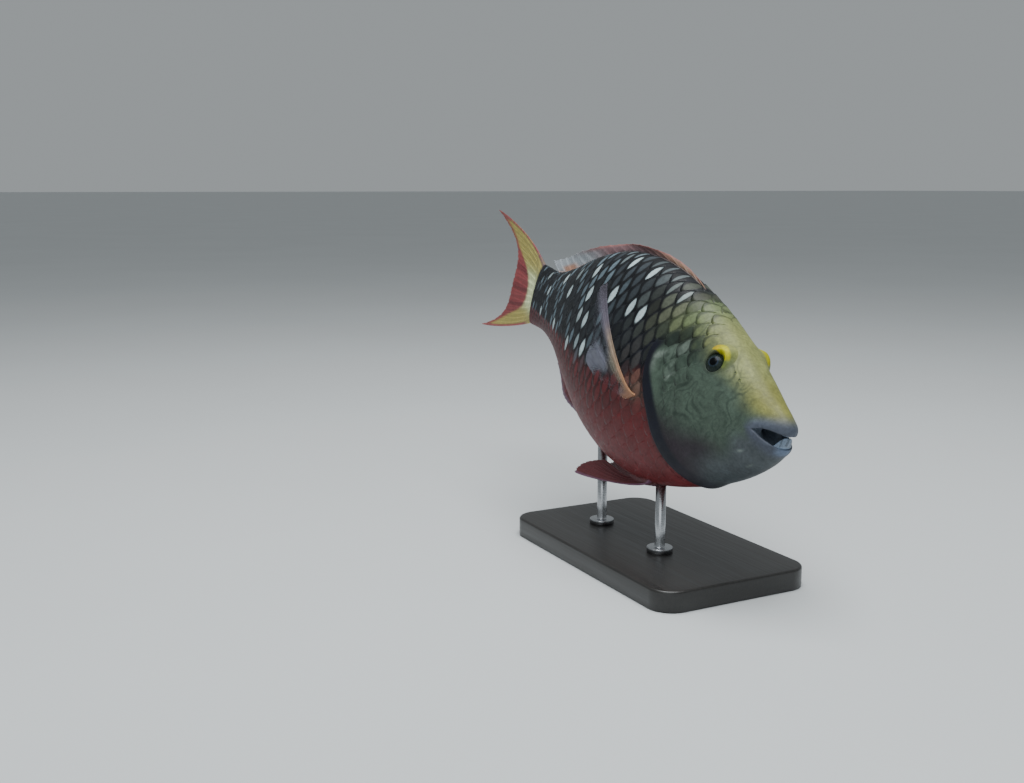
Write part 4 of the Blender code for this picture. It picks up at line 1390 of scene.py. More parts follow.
@dataclass(frozen=True)
class TailFin(Fin):
    """Crescent tail fin with long corner lobes; it swings part of the way back."""

    name: str = "tail_fin"
    node: str = "caudal_fin"
    rays: int = 15
    rows: int = 90
    ridge: float = 0.34 * MM
    first_ridge: float = 0.45 * MM
    root_reach: float = 0.30
    sink: float = 0.02
    thinned: float = 0.15
    # lengths of the upper and lower lobe and of the middle; heights of root and tips
    upper: float = 0.355
    lower: float = 0.300
    middle: float = 0.168
    root: tuple = (-0.067, 0.075)
    tips: tuple = (-0.152, 0.146)
    flesh: tuple = (0.0013, 0.0115)
    # heights, and the u where the dark root ends or the red crescent starts there
    dark_end: tuple = ((-0.09, -0.068, -0.009, 0.035, 0.078, 0.10),
                       (1.001, 1.001, 1.001, 1.004, 1.002, 1.0))
    red_start: tuple = ((-0.16, -0.125, -0.087, -0.05, -0.006, 0.037, 0.07, 0.12, 0.16),
                        (1.30, 1.225, 1.159, 1.088, 1.069, 1.098, 1.162, 1.275, 1.36))

    def shape(self, t: Array, v: Array) -> tuple[Array, Array, Array]:
        """How far back, how high and how far aside each place of the fin lies.

        Args:
            t: places along the rays.
            v: places across the fin.

        Returns:
            u, height and offset.
        """
        side = 2 * v - 1
        lobe = np.where(side > 0, self.upper, self.lower)
        length = self.middle + (lobe - self.middle) * np.abs(side) ** 2.6
        root_low, root_high = self.root
        tip_low, tip_high = self.tips
        root = root_low + (root_high - root_low) * v
        spread = np.sign(side) * np.abs(side) ** 0.95
        tip = (tip_low + tip_high) / 2 + (tip_high - tip_low) / 2 * spread
        z = root + (tip - root) * (1 - (1 - np.clip(t, 0, 1)) ** (1.25 + 0.35 * v))
        return 1.0 + length * t, z, 0.004 * np.sin(3 * pi * v) * t ** 2

    def surface(self, t: Array, v: Array) -> Array:
        """Middle surface: rays that spread to the two lobes, in a slight wave."""
        u, z, y = self.shape(t, v)
        return self.body.place(u, y, z)

    def colour(self, t: Array, v: Array) -> Array:
        """Dark root, pale then yellow band, red rear crescent, red rims and tips.

        Args:
            t: places along the rays.
            v: places across the fin.

        Returns:
            Linear colours.
        """
        u, z, _ = self.shape(t, v)
        bars = rise(np.sin(2 * pi * 6.5 * v + 0.8), 0.2, 0.95) * fall(np.abs(v - 0.5), 0.15, 0.32)
        red = paint("#8C3D3F", ("#632028", 0.65 * bars), ("#955850", 0.6 * rise(t, 0.93, 1.0)))
        dark = paint("#0E0E14", ("#471A22", fall(z, -0.045, -0.020)), ("#2E1830", rise(z, 0.045, 0.065)))
        yellow = paint("#AEB177", ("#D6E0AE", fall(np.abs(z + 0.005), 0.02, 0.06)),
                       ("#A99D55", rise(np.abs(z), 0.03, 0.07)))
        crescent = rise(u - held_curve(self.red_start, z), -0.008, 0.012)
        frayed = 0.45 * rise(np.sin(160 * u + 9 * np.sin(31 * u)), -0.2, 0.8) * rise(v, 0.9, 0.95)
        edge = np.maximum(fall(v, 0.025, 0.060), rise(v, 0.950, 0.980)) * (1 - frayed)
        upper_tip = rise(u - 1.26, 0.0, 0.05) * rise(v, 0.6, 0.9)
        lower_tip = rise(u - 1.235, 0.0, 0.05) * fall(v, 0.1, 0.3)
        return paint(dark, (yellow, rise(u - held_curve(self.dark_end, z), -0.006, 0.010)),
                     (red, np.maximum(crescent, 0.85 * rise(t, 0.84, 0.95))),
                     ("#974D4D", edge * rise(u, 1.01, 1.05)),
                     ("#94504C", 0.85 * np.maximum(upper_tip, lower_tip)),
                     ("#4C2F4A", 0.75 * rise(v, 0.94, 0.98) * fall(u, 1.02, 1.09)))

    def root_half(self, v: Array) -> Array:
        """Half thickness of the fleshy root, as wide as the stalk it grows from."""
        arch = np.sqrt(np.clip(1 - (2 * v - 1) ** 2, 0, 1))
        return self.body.length * (self.flesh[0] + self.flesh[1] * arch)


@dataclass(frozen=True)
class MedianFin(Fin):
    """Fin that stands on the line of the back or hangs from that of the belly."""

    style: RayStyle = RayStyle.WHOLE
    rows: int = 32
    start: float = 0.0
    end: float = 1.0
    rise_way: int = 1         # up from the back (1) or down from the belly (-1)
    # places across the fin, and the rays' heights and backward slants there
    knots: tuple = ()
    heights: tuple = ()
    slants: tuple = ()
    wave: tuple = (0.0, 1)    # how far the tips sway aside, and how often

    def surface(self, t: Array, v: Array) -> Array:
        """Middle surface, which sways gently and follows the body's outline.

        Args:
            t: places along the rays.
            v: places across the fin.

        Returns:
            Points in the fish's frame.
        """
        u = self.start + (self.end - self.start) * v + curve(self.knots, self.slants, v) * t
        lean = self.wave[0] * np.sin(self.wave[1] * pi * v) * t ** 2
        root = self.body.section(u)[0 if self.rise_way > 0 else 1]
        return self.body.place(u, lean, root + self.rise_way * curve(self.knots, self.heights, v) * t)


@dataclass(frozen=True)
class DorsalFin(MedianFin):
    """Long back fin: nine low, laid-back spines, then ten higher soft rays."""

    name: str = "dorsal_fin_web"
    node: str = "dorsal_fin"
    rays: int = 19
    per_ray: int = 12
    web: float = 0.22 * MM
    scallop: float = 0.05
    sink: float = 0.25
    start: float = 0.328
    end: float = 0.905
    knots: tuple = (0.0, 0.15, 0.40, 0.52, 0.64, 0.78, 0.90, 1.0)
    heights: tuple = (0.005, 0.011, 0.018, 0.025, 0.034, 0.040, 0.035, 0.020)
    slants: tuple = (0.030, 0.045, 0.050, 0.050, 0.052, 0.058, 0.060, 0.052)
    wave: tuple = (0.006, 5)

    def colour(self, t: Array, v: Array) -> Array:
        """Brown ahead, brick red on the middle, greyish pink behind with an orange root.

        Args:
            t: places along the rays.
            v: places across the fin.

        Returns:
            Linear colours.
        """
        patch = 0.75 * (rise(v, 0.80, 0.86) * fall(v, 0.915, 0.955) * fall(t, 0.30, 0.60))
        orange = np.maximum(0.45 * rise(v, 0.62, 0.78) * fall(t, 0.06, 0.24), patch)
        return paint("#765845", ("#6F5256", rise(v, 0.12, 0.38)), ("#A2A8AE", rise(v, 0.58, 0.76)),
                     ("#B4744A", orange), ("#2F3136", 0.7 * fall(v, 0.50, 0.62) * fall(t, 0.05, 0.36)),
                     ("#94605C", 0.8 * rise(t, 0.62, 0.92) * fall(v, 0.55, 0.85)))

    def solidity(self, t: Array, v: Array) -> Array:
        """Solid ahead, a little thinner behind."""
        return 1.0 - 0.25 * rise(v, 0.5, 0.8) * t


@dataclass(frozen=True)
class AnalFin(MedianFin):
    """Folded fin under the tail."""

    name: str = "anal_fin_web"
    node: str = "anal_fin"
    sink: float = 0.2
    thinned: float = 0.2
    start: float = 0.590
    end: float = 0.775
    rise_way: int = -1
    knots: tuple = (0.0, 0.25, 0.5, 0.75, 1.0)
    heights: tuple = (0.016, 0.031, 0.042, 0.049, 0.024)
    slants: tuple = (0.020,) * 5
    wave: tuple = (0.004, 3)

    def colour(self, t: Array, v: Array) -> Array:
        """Red with a violet rim."""
        return mix(linear("#6A2C34") + 0 * t[..., None], "#7C6478", rise(t, 0.72, 0.95))


@dataclass(frozen=True)
class PectoralFin(Fin):
    """Side fin, raised: the first ray points up and back, and the last one back; the left one droops."""

    name: str = "pectoral_fin_web"
    node: str = "pectoral_fin"
    slot: str = "orange_fin"
    rays: int = 13
    rows: int = 72
    ridge: float = 0.24 * MM
    first_ridge: float = 0.75 * MM
    root_thick: float = 0.6 * MM
    sink: float = 0.02
    ray_solidity: float = 0.05
    # ray lengths in millimetres, and degrees that they rise and stand out
    knots: tuple = (0.0, 0.12, 0.26, 0.40, 0.55, 0.75, 1.0)
    lengths: tuple = (68.0, 66.0, 50.0, 42.0, 40.0, 37.0, 27.0)
    rises: tuple = (54.0, 50.5, 42.0, 36.0, 26.0, 17.0, 12.0)
    outs: tuple = (9.0, 12.0, 18.0, 22.0, 19.0, 18.0, 18.0)
    left_droop: float = 22.0

    def surface(self, t: Array, v: Array) -> Array:
        """Middle surface: each ray leaves the skin squarely and bows forward.

        Args:
            t: places along the rays.
            v: places across the fin.

        Returns:
            Points in the fish's frame.
        """
        body, sign = self.body, self.side.value
        u = 0.337 + 0.026 * v
        angle = body.angle_at(u, -0.033 - 0.016 * v, self.side)
        normal = body.normal(u, angle)
        root = body.skin(u, angle)
        droop = self.left_droop if self.side is Side.LEFT else 0.0
        turn = np.radians(curve(self.knots, self.rises, v) - droop)
        out = np.radians(curve(self.knots, self.outs, v))
        length = curve(self.knots, self.lengths, v)[..., None] * MM
        way = unit(np.stack([-np.cos(turn) * np.cos(out), sign * np.sin(out), np.sin(turn)], -1))
        bow = np.array([-7.0, sign * 1.5, -3.0]) * MM * np.sin(pi * t)[..., None]
        ray = self.swept(root, normal * length * 0.40, root + way * length, t[..., None])
        return ray + bow * t[..., None] * (1 - v)[..., None]

    def colour(self, t: Array, v: Array) -> Array:
        """Leading rays orange, then beige, then lilac; beige, orange-rooted web with a lilac patch.

        Args:
            t: places along the rays.
            v: places across the fin.

        Returns:
            Linear colours.
        """
        web = paint("#8A8474", ("#70717F", np.maximum(rise(t, 0.45, 0.60), rise(v, 0.25, 0.45))),
                    ("#94694F", fall(t, 0.10, 0.38)))
        lead = paint("#B08260", ("#8E7A66", rise(t, 0.28, 0.50)), ("#665F6D", rise(t, 0.52, 0.72)))
        return paint(web, (lead, fall(v, 0.06, 0.20)), ("#7A4A3A", 0.5 * fall(t, 0.0, 0.07)))

    def solidity(self, t: Array, v: Array) -> Array:
        """Clear web, solid at the root, along the leading rays and in a round patch behind.

        Args:
            t: places along the rays.
            v: places across the fin.

        Returns:
            Solidity from 0 to 1.
        """
        disc = np.exp(-((v - 0.50 - 1.2 * (t - 0.75)) / 0.23) ** 4)
        patch = 0.78 * rise(t, 0.50, 0.60) * rise(v, 0.20, 0.38) * disc
        lead = fall(v, 0.10, 0.17) * (0.95 - 0.72 * rise(t, 0.55, 0.98))
        pale = 0.45 * fall(v, 0.14, 0.34) * fall(t, 0.48, 0.62)
        root = fall(t, 0.14, 0.32) * fall(v, 0.6, 1.1)
        return 0.02 + 0.98 * np.maximum(np.maximum(patch, lead), np.maximum(pale, root))


@dataclass(frozen=True)
class PelvicFin(Fin):
    """Belly fin, swept back."""

    name: str = "pelvic_fin_web"
    node: str = "pelvic_fin"
    rays: int = 6
    per_ray: int = 24
    ridge: float = 0.34 * MM
    first_ridge: float = 0.6 * MM
    root_thick: float = 1.1 * MM
    sink: float = 0.03
    bow: float = 12.0 * MM

    def surface(self, t: Array, v: Array) -> Array:
        """Middle surface: rays leave the belly and sweep back to a slanting edge.

        Args:
            t: places along the rays.
            v: places across the fin.

        Returns:
            Points in the fish's frame.
        """
        body, sign = self.body, self.side.value
        u = 0.305 + 0.070 * v
        angle = BELLY + sign * np.radians(14 - 6 * v)
        normal = body.normal(u, angle)
        root = body.skin(u, angle)
        back = 0.535 + 0.045 * v * (1 - v) - 0.066 * v ** 1.5
        tip = body.place(back, sign * (0.040 - 0.021 * v), -0.268 + 0.056 * v)
        length = np.linalg.norm(tip - root, axis=-1, keepdims=True)
        t, v = t[..., None], v[..., None]
        ray = self.swept(root, normal * length * (0.25 + 0.35 * v), tip, t)
        return ray + normal * self.bow * t ** 2 * (1 - t) * (1 - v)

    def colour(self, t: Array, v: Array) -> Array:
        """Deep red with a violet leading edge."""
        return mix(linear("#571B21") + 0 * t[..., None], "#6B4860", 0.8 * fall(v, 0.03, 0.12))


def every_fin(body: Body) -> list[Fin]:
    """The fish's fins: three on its middle and two pairs."""
    pairs = [kind(body, side) for kind in (PectoralFin, PelvicFin) for side in Side]
    return [TailFin(body), DorsalFin(body), AnalFin(body), *pairs]


class Jaw(Enum):
    """The two jaws; the value is the way from the plate's edge to its root."""

    UPPER = 1
    LOWER = -1


@dataclass(frozen=True)
class Beak:
    """The two tooth plates, each a curved wall of fused small teeth with a scalloped edge."""

    mouth: Mouth
    jaw: Jaw
    # of the upper and the lower plate: how far behind the lip, how proud of it, half the proud stretch
    inset: tuple = (2.9 * MM, 1.1 * MM)
    proud: tuple = (0.6 * MM, 6.2 * MM)
    side_share: tuple = (0.6, 0.32)
    depth: float = 4.0 * MM
    sunk: float = 1.1 * MM    # how far the plates lie behind the lips at their ends
    half: float = 0.7 * MM
    edge_half: float = 0.35 * MM
    reach: float = 0.86
    teeth: int = 22
    tooth_rows: int = 9
    notch: float = 0.22 * MM
    relief: float = 0.10 * MM
    # outer face: pale at the root as a painted wet highlight where it leaves the lip, then blue-grey, then
    # dark streaks; inner face darker, most at its root, as painted shade
    outside: tuple = ("#8FA3BC", "#647488", "#34434F")
    inside: tuple = ("#3C4A5C", "#56697C")

    def build(self, material: Material) -> Piece:
        """A wall that follows the lip's inside from its root to its edge.

        The outer face carries rows of teeth, as a product of two cosines that shifts by half a
        tooth from row to row, and the edge rises and falls once a tooth.

        Args:
            material: the teeth's finish.

        Returns:
            The plate.
        """
        mouth, direction = self.mouth, self.jaw.value
        which = 0 if self.jaw is Jaw.UPPER else 1
        along = np.linspace(-1, 1, self.teeth * 10 + 1)[None] * self.reach
        t = np.linspace(0, 1, 30)[:, None]
        path = mouth.edge_line((mouth.upper_edge, mouth.lower_edge)[which], along[0])
        inward = unit(np.cross(np.gradient(path, axis=0), (0.0, 0.0, -1.0)))
        path = path + inward * self.inset[which]
        bow = np.exp(-np.abs(along / self.side_share[which]) ** 3)
        tooth = along / self.reach * self.teeth / 2
        notch = self.notch * np.abs(np.cos(pi * tooth)) ** 0.6
        top = -direction * (self.proud[which] * bow - self.sunk * (1 - bow) + notch)
        bottom = direction * self.depth
        middle = np.repeat(path[None], len(t), axis=0)
        middle[..., 2] += bottom + (top - bottom) * t
        lean = 3.0 * MM * (1 - t) ** 3 - 0.8 * MM * t ** 2 * bow
        middle = middle + inward[None] * lean[..., None]
        row = t * self.tooth_rows
        pattern = np.abs(np.cos(pi * (tooth + 0.5 * (np.floor(row) % 2)))) * np.abs(np.sin(pi * row)) ** 0.5
        half = self.half + (self.edge_half - self.half) * t ** 2
        relief = self.relief * pattern * rise(t, 0.1, 0.3)
        outer = middle - inward[None] * (half + relief)[..., None]
        inner = middle + inward[None] * (half + 0 * relief)[..., None]
        points, faces = plate(outer, inner)
        streaks = rise(np.sin(2 * pi * tooth / 2.6 + 1.0), 0.1, 0.9) * rise(t, 0.50, 0.62)
        # painted highlight: the pale root of the outer face; painted shade: the darker inner face, darkest at
        # its root
        outside = paint(self.outside[0], (self.outside[1], rise(t, 0.46, 0.56) * (0.7 + 0.3 * pattern)),
                        (self.outside[2], 0.65 * streaks))
        inside = mix(*self.inside, rise(t, 0.3, 1.0) + 0 * pattern)
        word = self.jaw.name.lower()
        piece = add_piece(f"tooth_plate_{word}", mouth.body.to_row(points), faces, material,
                          {"tint": np.stack([outside, inside])})
        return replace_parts(piece, f"beak_{word}")


@dataclass(frozen=True)
class Nostrils:
    """Two small rimmed pits on each side of the snout."""

    body: Body
    markings: Markings
    side: Side
    places: tuple = ((0.128, 0.072), (0.142, 0.080))
    radius: float = 0.5 * MM
    # painted shade standing for the depth of each nostril
    pit: str = "#4A523A"
    # distance from the middle in radii, height in millimetres and share of the painted shade of the hole
    profile: tuple = (
        (1.75, -0.30, 0.0), (1.6, 0.0, 0.0), (1.35, 0.26, 0.1), (1.1, 0.36, 0.3), (0.9, 0.26, 0.7),
        (0.78, 0.05, 1.0), (0.45, 0.02, 1.0), (0.10, 0.02, 1.0), (0.10, -0.6, 1.0), (1.75, -0.6, 0.0))

    def build(self, material: Material) -> Piece:
        """Joined rims: a profile that climbs over a lip and drops to a floor painted dark as the shade of a
        hole.

        Args:
            material: the skin's finish.

        Returns:
            The pits of this side.
        """
        body = self.body
        turn = circle(32)[None]
        away, height, dark = (column[:, None] for column in np.array(self.profile).T)
        ring_points = len(self.profile) * turn.size
        points, tint, faces = [], [], []
        for k, place in enumerate(self.places):
            u, angle = body.round_place(place, away * self.radius, turn, self.side)
            lift = height * MM + body.head_lift(u, angle)
            points.append(body.skin(u, angle) + body.normal(u, angle) * lift[..., None])
            tint.append(mix(self.markings.colour(u, angle), self.pit, dark + 0 * turn))
            faces.append(grid_quads(len(self.profile), turn.size, True, True, start=k * ring_points))
        return add_piece(f"nostrils_{self.side.word}", body.to_row(np.array(points)),
                         [np.concatenate(faces)], material, {"tint": np.array(tint)},
                         {"lines": np.zeros(len(self.places) * ring_points)})


@dataclass(frozen=True)
class DisplayStand:
    """Flat wooden base with two short steel rods."""

    body: Body
    length: float = 0.170
    width: float = 0.100
    thick: float = 0.012
    corner: float = 0.014
    least_corner: float = 0.002
    soft: float = 0.0015
    foot_chamfer: float = 0.0006
    rod_radius: float = 0.003
    collar_radius: float = 0.0075
    collar_height: float = 0.003
    collar_soft: float = 0.0005
    rod_in_belly: float = 0.0012
    rod_places: tuple = (("stand_rod_front", 0.300), ("stand_rod_rear", 0.520))

    def build_base(self, material: Material) -> Piece:
        """Board with round corners, its upper edge rounded off as a quarter circle.

        Args:
            material: the wood's finish.

        Returns:
            The base.
        """
        turn = circle(96) + pi / 96
        rounding = np.linspace(0, BACK, 9)
        foot, top, edge = self.foot_chamfer, self.thick, self.thick - self.soft
        inward = np.concatenate([[foot, 0.0], self.soft * (1 - np.cos(rounding)), [0.010, 0.012]])[:, None]
        height = np.concatenate([[0.0, foot], edge + self.soft * np.sin(rounding), [top, top]])[:, None]
        radius = np.maximum(self.corner - inward, self.least_corner)
        slide = np.maximum(inward - self.corner + self.least_corner, 0.0)
        x = np.sign(np.cos(turn)) * (self.length / 2 - self.corner - slide) + radius * np.cos(turn)
        y = np.sign(np.sin(turn)) * (self.width / 2 - self.corner - slide) + radius * np.sin(turn)
        points, faces = lathe(np.stack([x, y, height + 0 * x], -1), (0, 0, 0), (0, 0, self.thick))
        piece = add_piece("stand_board", points, faces, material)
        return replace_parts(piece, "stand_base")

    def rod_profile(self, top: float) -> Array:
        """Radius and height of the rod, from its collar's foot to its upper end.

        Args:
            top: height of the upper end.

        Returns:
            Rows of radius and height, round at the collar's rim and in its inner corner.
        """
        soft = self.collar_soft
        rounding = np.linspace(0, BACK, 6)
        sweep, drop = soft * (1 - np.cos(rounding)), soft * (1 - np.sin(rounding))
        shelf = self.thick + self.collar_height
        collar = np.stack([self.collar_radius - sweep, shelf - drop], -1)
        neck = np.stack([self.rod_radius + drop, shelf + sweep], -1)
        shaft = [(self.rod_radius, shelf + 0.005), (self.rod_radius, top)]
        return np.concatenate([[(self.collar_radius, self.thick)], collar, neck, shaft])

    def build_rod(self, node: str, u: float, material: Material) -> Piece:
        """Upright rod with a turned collar, its profile carried round its axis up into the belly.

        Args:
            node: the solid it stands for.
            u: where it meets the belly.
            material: the steel's finish.

        Returns:
            The rod.
        """
        x, y, belly = self.body.to_row(self.body.skin(u, BELLY))
        profile = self.rod_profile(belly + self.rod_in_belly)
        radius, height = profile[:, :1], profile[:, 1:]
        turn = circle(48)
        rings = np.stack([x + radius * np.cos(turn), y + radius * np.sin(turn), height + 0 * turn], -1)
        points, faces = lathe(rings, (x, y, profile[0, 1]), (x, y, profile[-1, 1]))
        piece = add_piece(f"{node}_turned", points, faces, material)
        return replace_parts(piece, node)


class Kind(Enum):
    """Shader nodes that the finishes are made of."""

    PLACE = "ShaderNodeTexCoord"
    NAMED = "ShaderNodeAttribute"
    NOISE = "ShaderNodeTexNoise"
    RANGE = "ShaderNodeMapRange"
    MATHS = "ShaderNodeMath"
    VECTOR = "ShaderNodeVectorMath"
    TURN = "ShaderNodeMapping"
    MIX = "ShaderNodeMix"
    BUMP = "ShaderNodeBump"


def add_node(tree: Tree, kind: Kind, settings: dict | None = None, links: dict | None = None,
             output: int | str = 0) -> Socket:
    """Adds a node with its settings and links.

    Args:
        tree: the material's node tree.
        kind: the node's kind.
        settings: values by the node's own property, or by its input's name or number.
        links: output sockets by the name or number of the input that they feed.
        output: name or number of the output that is wanted.

    Returns:
        The output socket.
    """
    node = tree.nodes.new(kind.value)
    for key, value in (settings or {}).items():
        if isinstance(key, str) and hasattr(node, key):
            setattr(node, key, value)
        else:
            node.inputs[key].default_value = value
    for key, source in (links or {}).items():
        tree.links.new(source, node.inputs[key])
    return node.outputs[output]


@dataclass(frozen=True)
class Finish:
    """The surface of one real material: colour, gloss and relief, all broken up by noise.

    Blots are layers of noise that multiply the colour: size in millimetres, lowest and highest
    factor. Gloss is the size of its patches and the lowest and highest roughness. Relief is the
    grain's size, its strength and its depth in metres. Coat is a clear layer's weight and roughness,
    and shine the strength of the ground's own reflection. A see-through finish is as solid as its
    points are marked.
    """

    name: str = "plain_finish"
    ground: str = ""
    stretch: tuple = (1.0, 1.0, 1.0)
    blots: tuple = ((7.0, 0.85, 1.15),)
    gloss: tuple = (3.0, 0.35, 0.50)
    relief: tuple = (0.8, 0.35, 0.15 * MM)
    coat: tuple = (0.0, 0.3)
    shine: float = 0.5
    metallic: float = 0.0
    see_through: bool = False

    def speckle(self, tree: Tree, place: Socket, size: float, low: float, high: float) -> Socket:
        """Noise with blots of a size in millimetres, drawn out to run from low to high.

        Args:
            tree: the node tree.
            place: the coordinates.
            size: size of a blot in millimetres.
            low: the value in the dips.
            high: the value on the crests.

        Returns:
            The value.
        """
        settings = {"Scale": 1 / (size * MM), "Detail": 4.0, "Roughness": 0.55}
        raw = add_node(tree, Kind.NOISE, settings, {"Vector": place})
        return add_node(tree, Kind.RANGE, {"From Min": 0.3, "From Max": 0.7, "To Min": low, "To Max": high},
                        {"Value": raw})

    def pattern(self, tree: Tree, place: Socket, colour: Socket) -> Socket:
        """The material's own markings; a plain material has none."""
        return colour

    def material(self) -> Material:
        """Blots over the ground or the points' tint, then the pattern, gloss and relief.

        Returns:
            The material.
        """
        material = bpy.data.materials.new(self.name)
        material.use_nodes = True
        tree = material.node_tree
        shader = tree.nodes["Principled BSDF"]
        place = add_node(tree, Kind.PLACE, output="Object")
        if self.stretch != (1.0, 1.0, 1.0):
            place = add_node(tree, Kind.TURN, {"Scale": self.stretch}, {"Vector": place})
        colour = None if self.ground else add_node(tree, Kind.NAMED, {"attribute_name": "tint"})
        ground = (*linear(self.ground),) if self.ground else (0.0, 0.0, 0.0)
        colour = self.pattern(tree, place, colour)
        for size, low, high in self.blots:
            links = {"Scale": self.speckle(tree, place, size, low, high)}
            links |= {0: colour} if colour else {}
            colour = add_node(tree, Kind.VECTOR, {"operation": "SCALE", 0: ground}, links)
        tree.links.new(colour, shader.inputs["Base Color"])
        tree.links.new(self.speckle(tree, place, *self.gloss), shader.inputs["Roughness"])
        size, strength, depth = self.relief
        grain = self.speckle(tree, place, size, 0.0, 1.0)
        bump = add_node(tree, Kind.BUMP, {"Strength": strength, "Distance": depth}, {"Height": grain})
        tree.links.new(bump, shader.inputs["Normal"])
        shader.inputs["Coat Weight"].default_value = self.coat[0]
        shader.inputs["Coat Roughness"].default_value = self.coat[1]
        shader.inputs["Specular IOR Level"].default_value = self.shine
        shader.inputs["Metallic"].default_value = self.metallic
        if self.see_through:
            solid = add_node(tree, Kind.NAMED, {"attribute_name": "solidity"}, output="Fac")
            tree.links.new(solid, shader.inputs["Alpha"])
        return material


@dataclass(frozen=True)
class FishSkin(Finish):
    """Wet fish skin: soft gleam under slime, mottled, with dark winding lines on the head."""

    name: str = "wet_fish_skin"
    blots: tuple = ((9.0, 0.80, 1.20), (1.6, 0.80, 1.20))
    gloss: tuple = (3.0, 0.48, 0.62)
    relief: tuple = (0.8, 0.30, 0.12 * MM)
    coat: tuple = (0.05, 0.30)
    shine: float = 0.30
    # winding lines: size of the noise they follow, lines in its range, their width and colour
    winding: tuple = (15.0, 3.2, 0.34)
    line_colour: str = "#1C2922"

    def pattern(self, tree: Tree, place: Socket, colour: Socket) -> Socket:
        """Contour lines of a smooth noise, as strong as the points' mark and fading in patches.

        Args:
            tree: the node tree.
            place: the coordinates.
            colour: the colour so far.

        Returns:
            The colour with the lines.
        """
        size, count, width = self.winding
        hills = add_node(tree, Kind.NOISE, {"Scale": 1 / (size * MM), "Detail": 1.5, "Distortion": 0.9},
                         {"Vector": place})
        levels = add_node(tree, Kind.MATHS, {"operation": "MULTIPLY", 1: 2 * count}, {0: hills})
        saw = add_node(tree, Kind.MATHS, {"operation": "PINGPONG", 1: 0.5}, {0: levels})
        line = add_node(tree, Kind.RANGE, {"interpolation_type": "SMOOTHSTEP", "From Min": 0.0,
                                           "From Max": width, "To Min": 1.0, "To Max": 0.0}, {"Value": saw})
        patchy = add_node(tree, Kind.MATHS, {"operation": "MULTIPLY"},
                          {0: line, 1: self.speckle(tree, place, 12.0, 0.05, 0.80)})
        mask = add_node(tree, Kind.NAMED, {"attribute_name": "lines"}, output="Fac")
        share = add_node(tree, Kind.MATHS, {"operation": "MULTIPLY", "use_clamp": True}, {0: patchy, 1: mask})
        settings = {"data_type": "RGBA", 7: (*linear(self.line_colour), 1.0)}
        return add_node(tree, Kind.MIX, settings, {0: share, 6: colour}, output=2)


@dataclass(frozen=True)
class FishScale(FishSkin):
    """Thin bony plates under slime: each a pale lozenge in a dark border, finely ringed."""

    name: str = "fish_scale"
    blots: tuple = ((9.0, 0.80, 1.20), (1.5, 0.80, 1.20))
    gloss: tuple = (2.2, 0.42, 0.58)
    relief: tuple = (0.7, 0.30, 0.06 * MM)
    coat: tuple = (0.06, 0.28)
    shine: float = 0.28
    # sum of lengths at which a lozenge starts to fade, and at which it has gone
    edge: tuple = (0.38, 0.88)
    rings: float = 60.0

    def pattern(self, tree: Tree, place: Socket, colour: Socket) -> Socket:
        """Lozenge from the sum of the lengths along and across the scale, wobbled by noise.

        Args:
            tree: the node tree.
            place: the coordinates.
            colour: the border's colour.

        Returns:
            The colour with lozenge, growth rings and winding lines.
        """
        total = self.speckle(tree, place, 2.0, -0.06, 0.06)
        for mark in ("along", "across"):
            length = add_node(tree, Kind.NAMED, {"attribute_name": mark}, output="Fac")
            length = add_node(tree, Kind.MATHS, {"operation": "ABSOLUTE"}, {0: length})
            length = add_node(tree, Kind.MATHS, {"operation": "POWER", 1: 1.55}, {0: length})
            total = add_node(tree, Kind.MATHS, {"operation": "ADD"}, {0: length, 1: total})
        inside = add_node(tree, Kind.RANGE, {"interpolation_type": "SMOOTHSTEP", "From Min": self.edge[0],
                                             "From Max": self.edge[1], "To Min": 1.0, "To Max": 0.0},
                          {"Value": total})
        strength = add_node(tree, Kind.NAMED, {"attribute_name": "strength"}, output="Fac")
        share = add_node(tree, Kind.MATHS, {"operation": "MULTIPLY"}, {0: inside, 1: strength})
        centre = add_node(tree, Kind.NAMED, {"attribute_name": "centre"})
        colour = add_node(tree, Kind.MIX, {"data_type": "RGBA"}, {0: share, 6: colour, 7: centre}, output=2)
        wave = add_node(tree, Kind.MATHS, {"operation": "MULTIPLY", 1: self.rings}, {0: total})
        wave = add_node(tree, Kind.MATHS, {"operation": "SINE"}, {0: wave})
        rings = add_node(tree, Kind.RANGE, {"From Min": -1.0, "To Min": 0.93, "To Max": 1.07},
                         {"Value": wave})
        colour = add_node(tree, Kind.VECTOR, {"operation": "SCALE"}, {0: colour, "Scale": rings})
        return super().pattern(tree, place, colour)


# moist fin membrane, so thin between the rays that the flank shows through it
FIN_MEMBRANE = Finish("fin_membrane", blots=((2.5, 0.84, 1.16),), gloss=(2.0, 0.44, 0.60),
                      relief=(0.6, 0.30, 0.08 * MM), coat=(0.05, 0.30), see_through=True)
# cornea: a hard small highlight over the dark iris
WET_EYE = Finish("wet_eye", blots=((0.7, 0.8, 1.2),), gloss=(1.0, 0.24, 0.32), relief=(1.0, 0.02, 0.01 * MM),
                 coat=(0.04, 0.12), shine=0.10)
# enamel: pale blue-green, glossy, stained between the teeth
TOOTH_ENAMEL = Finish("tooth_enamel", blots=((1.4, 0.75, 1.12),), gloss=(1.0, 0.22, 0.34),
                      relief=(0.5, 0.20, 0.05 * MM), coat=(0.2, 0.20))
# open-pored oak, stained black under satin lacquer: fine streaks along the board
BLACK_STAINED_OAK = Finish("black_stained_oak", "#1B1917", (0.033, 1.0, 1.0), ((1.4, 0.45, 1.55),),
                           (1.4, 0.34, 0.50), (1.1, 0.35, 0.12 * MM), (0.25, 0.3))
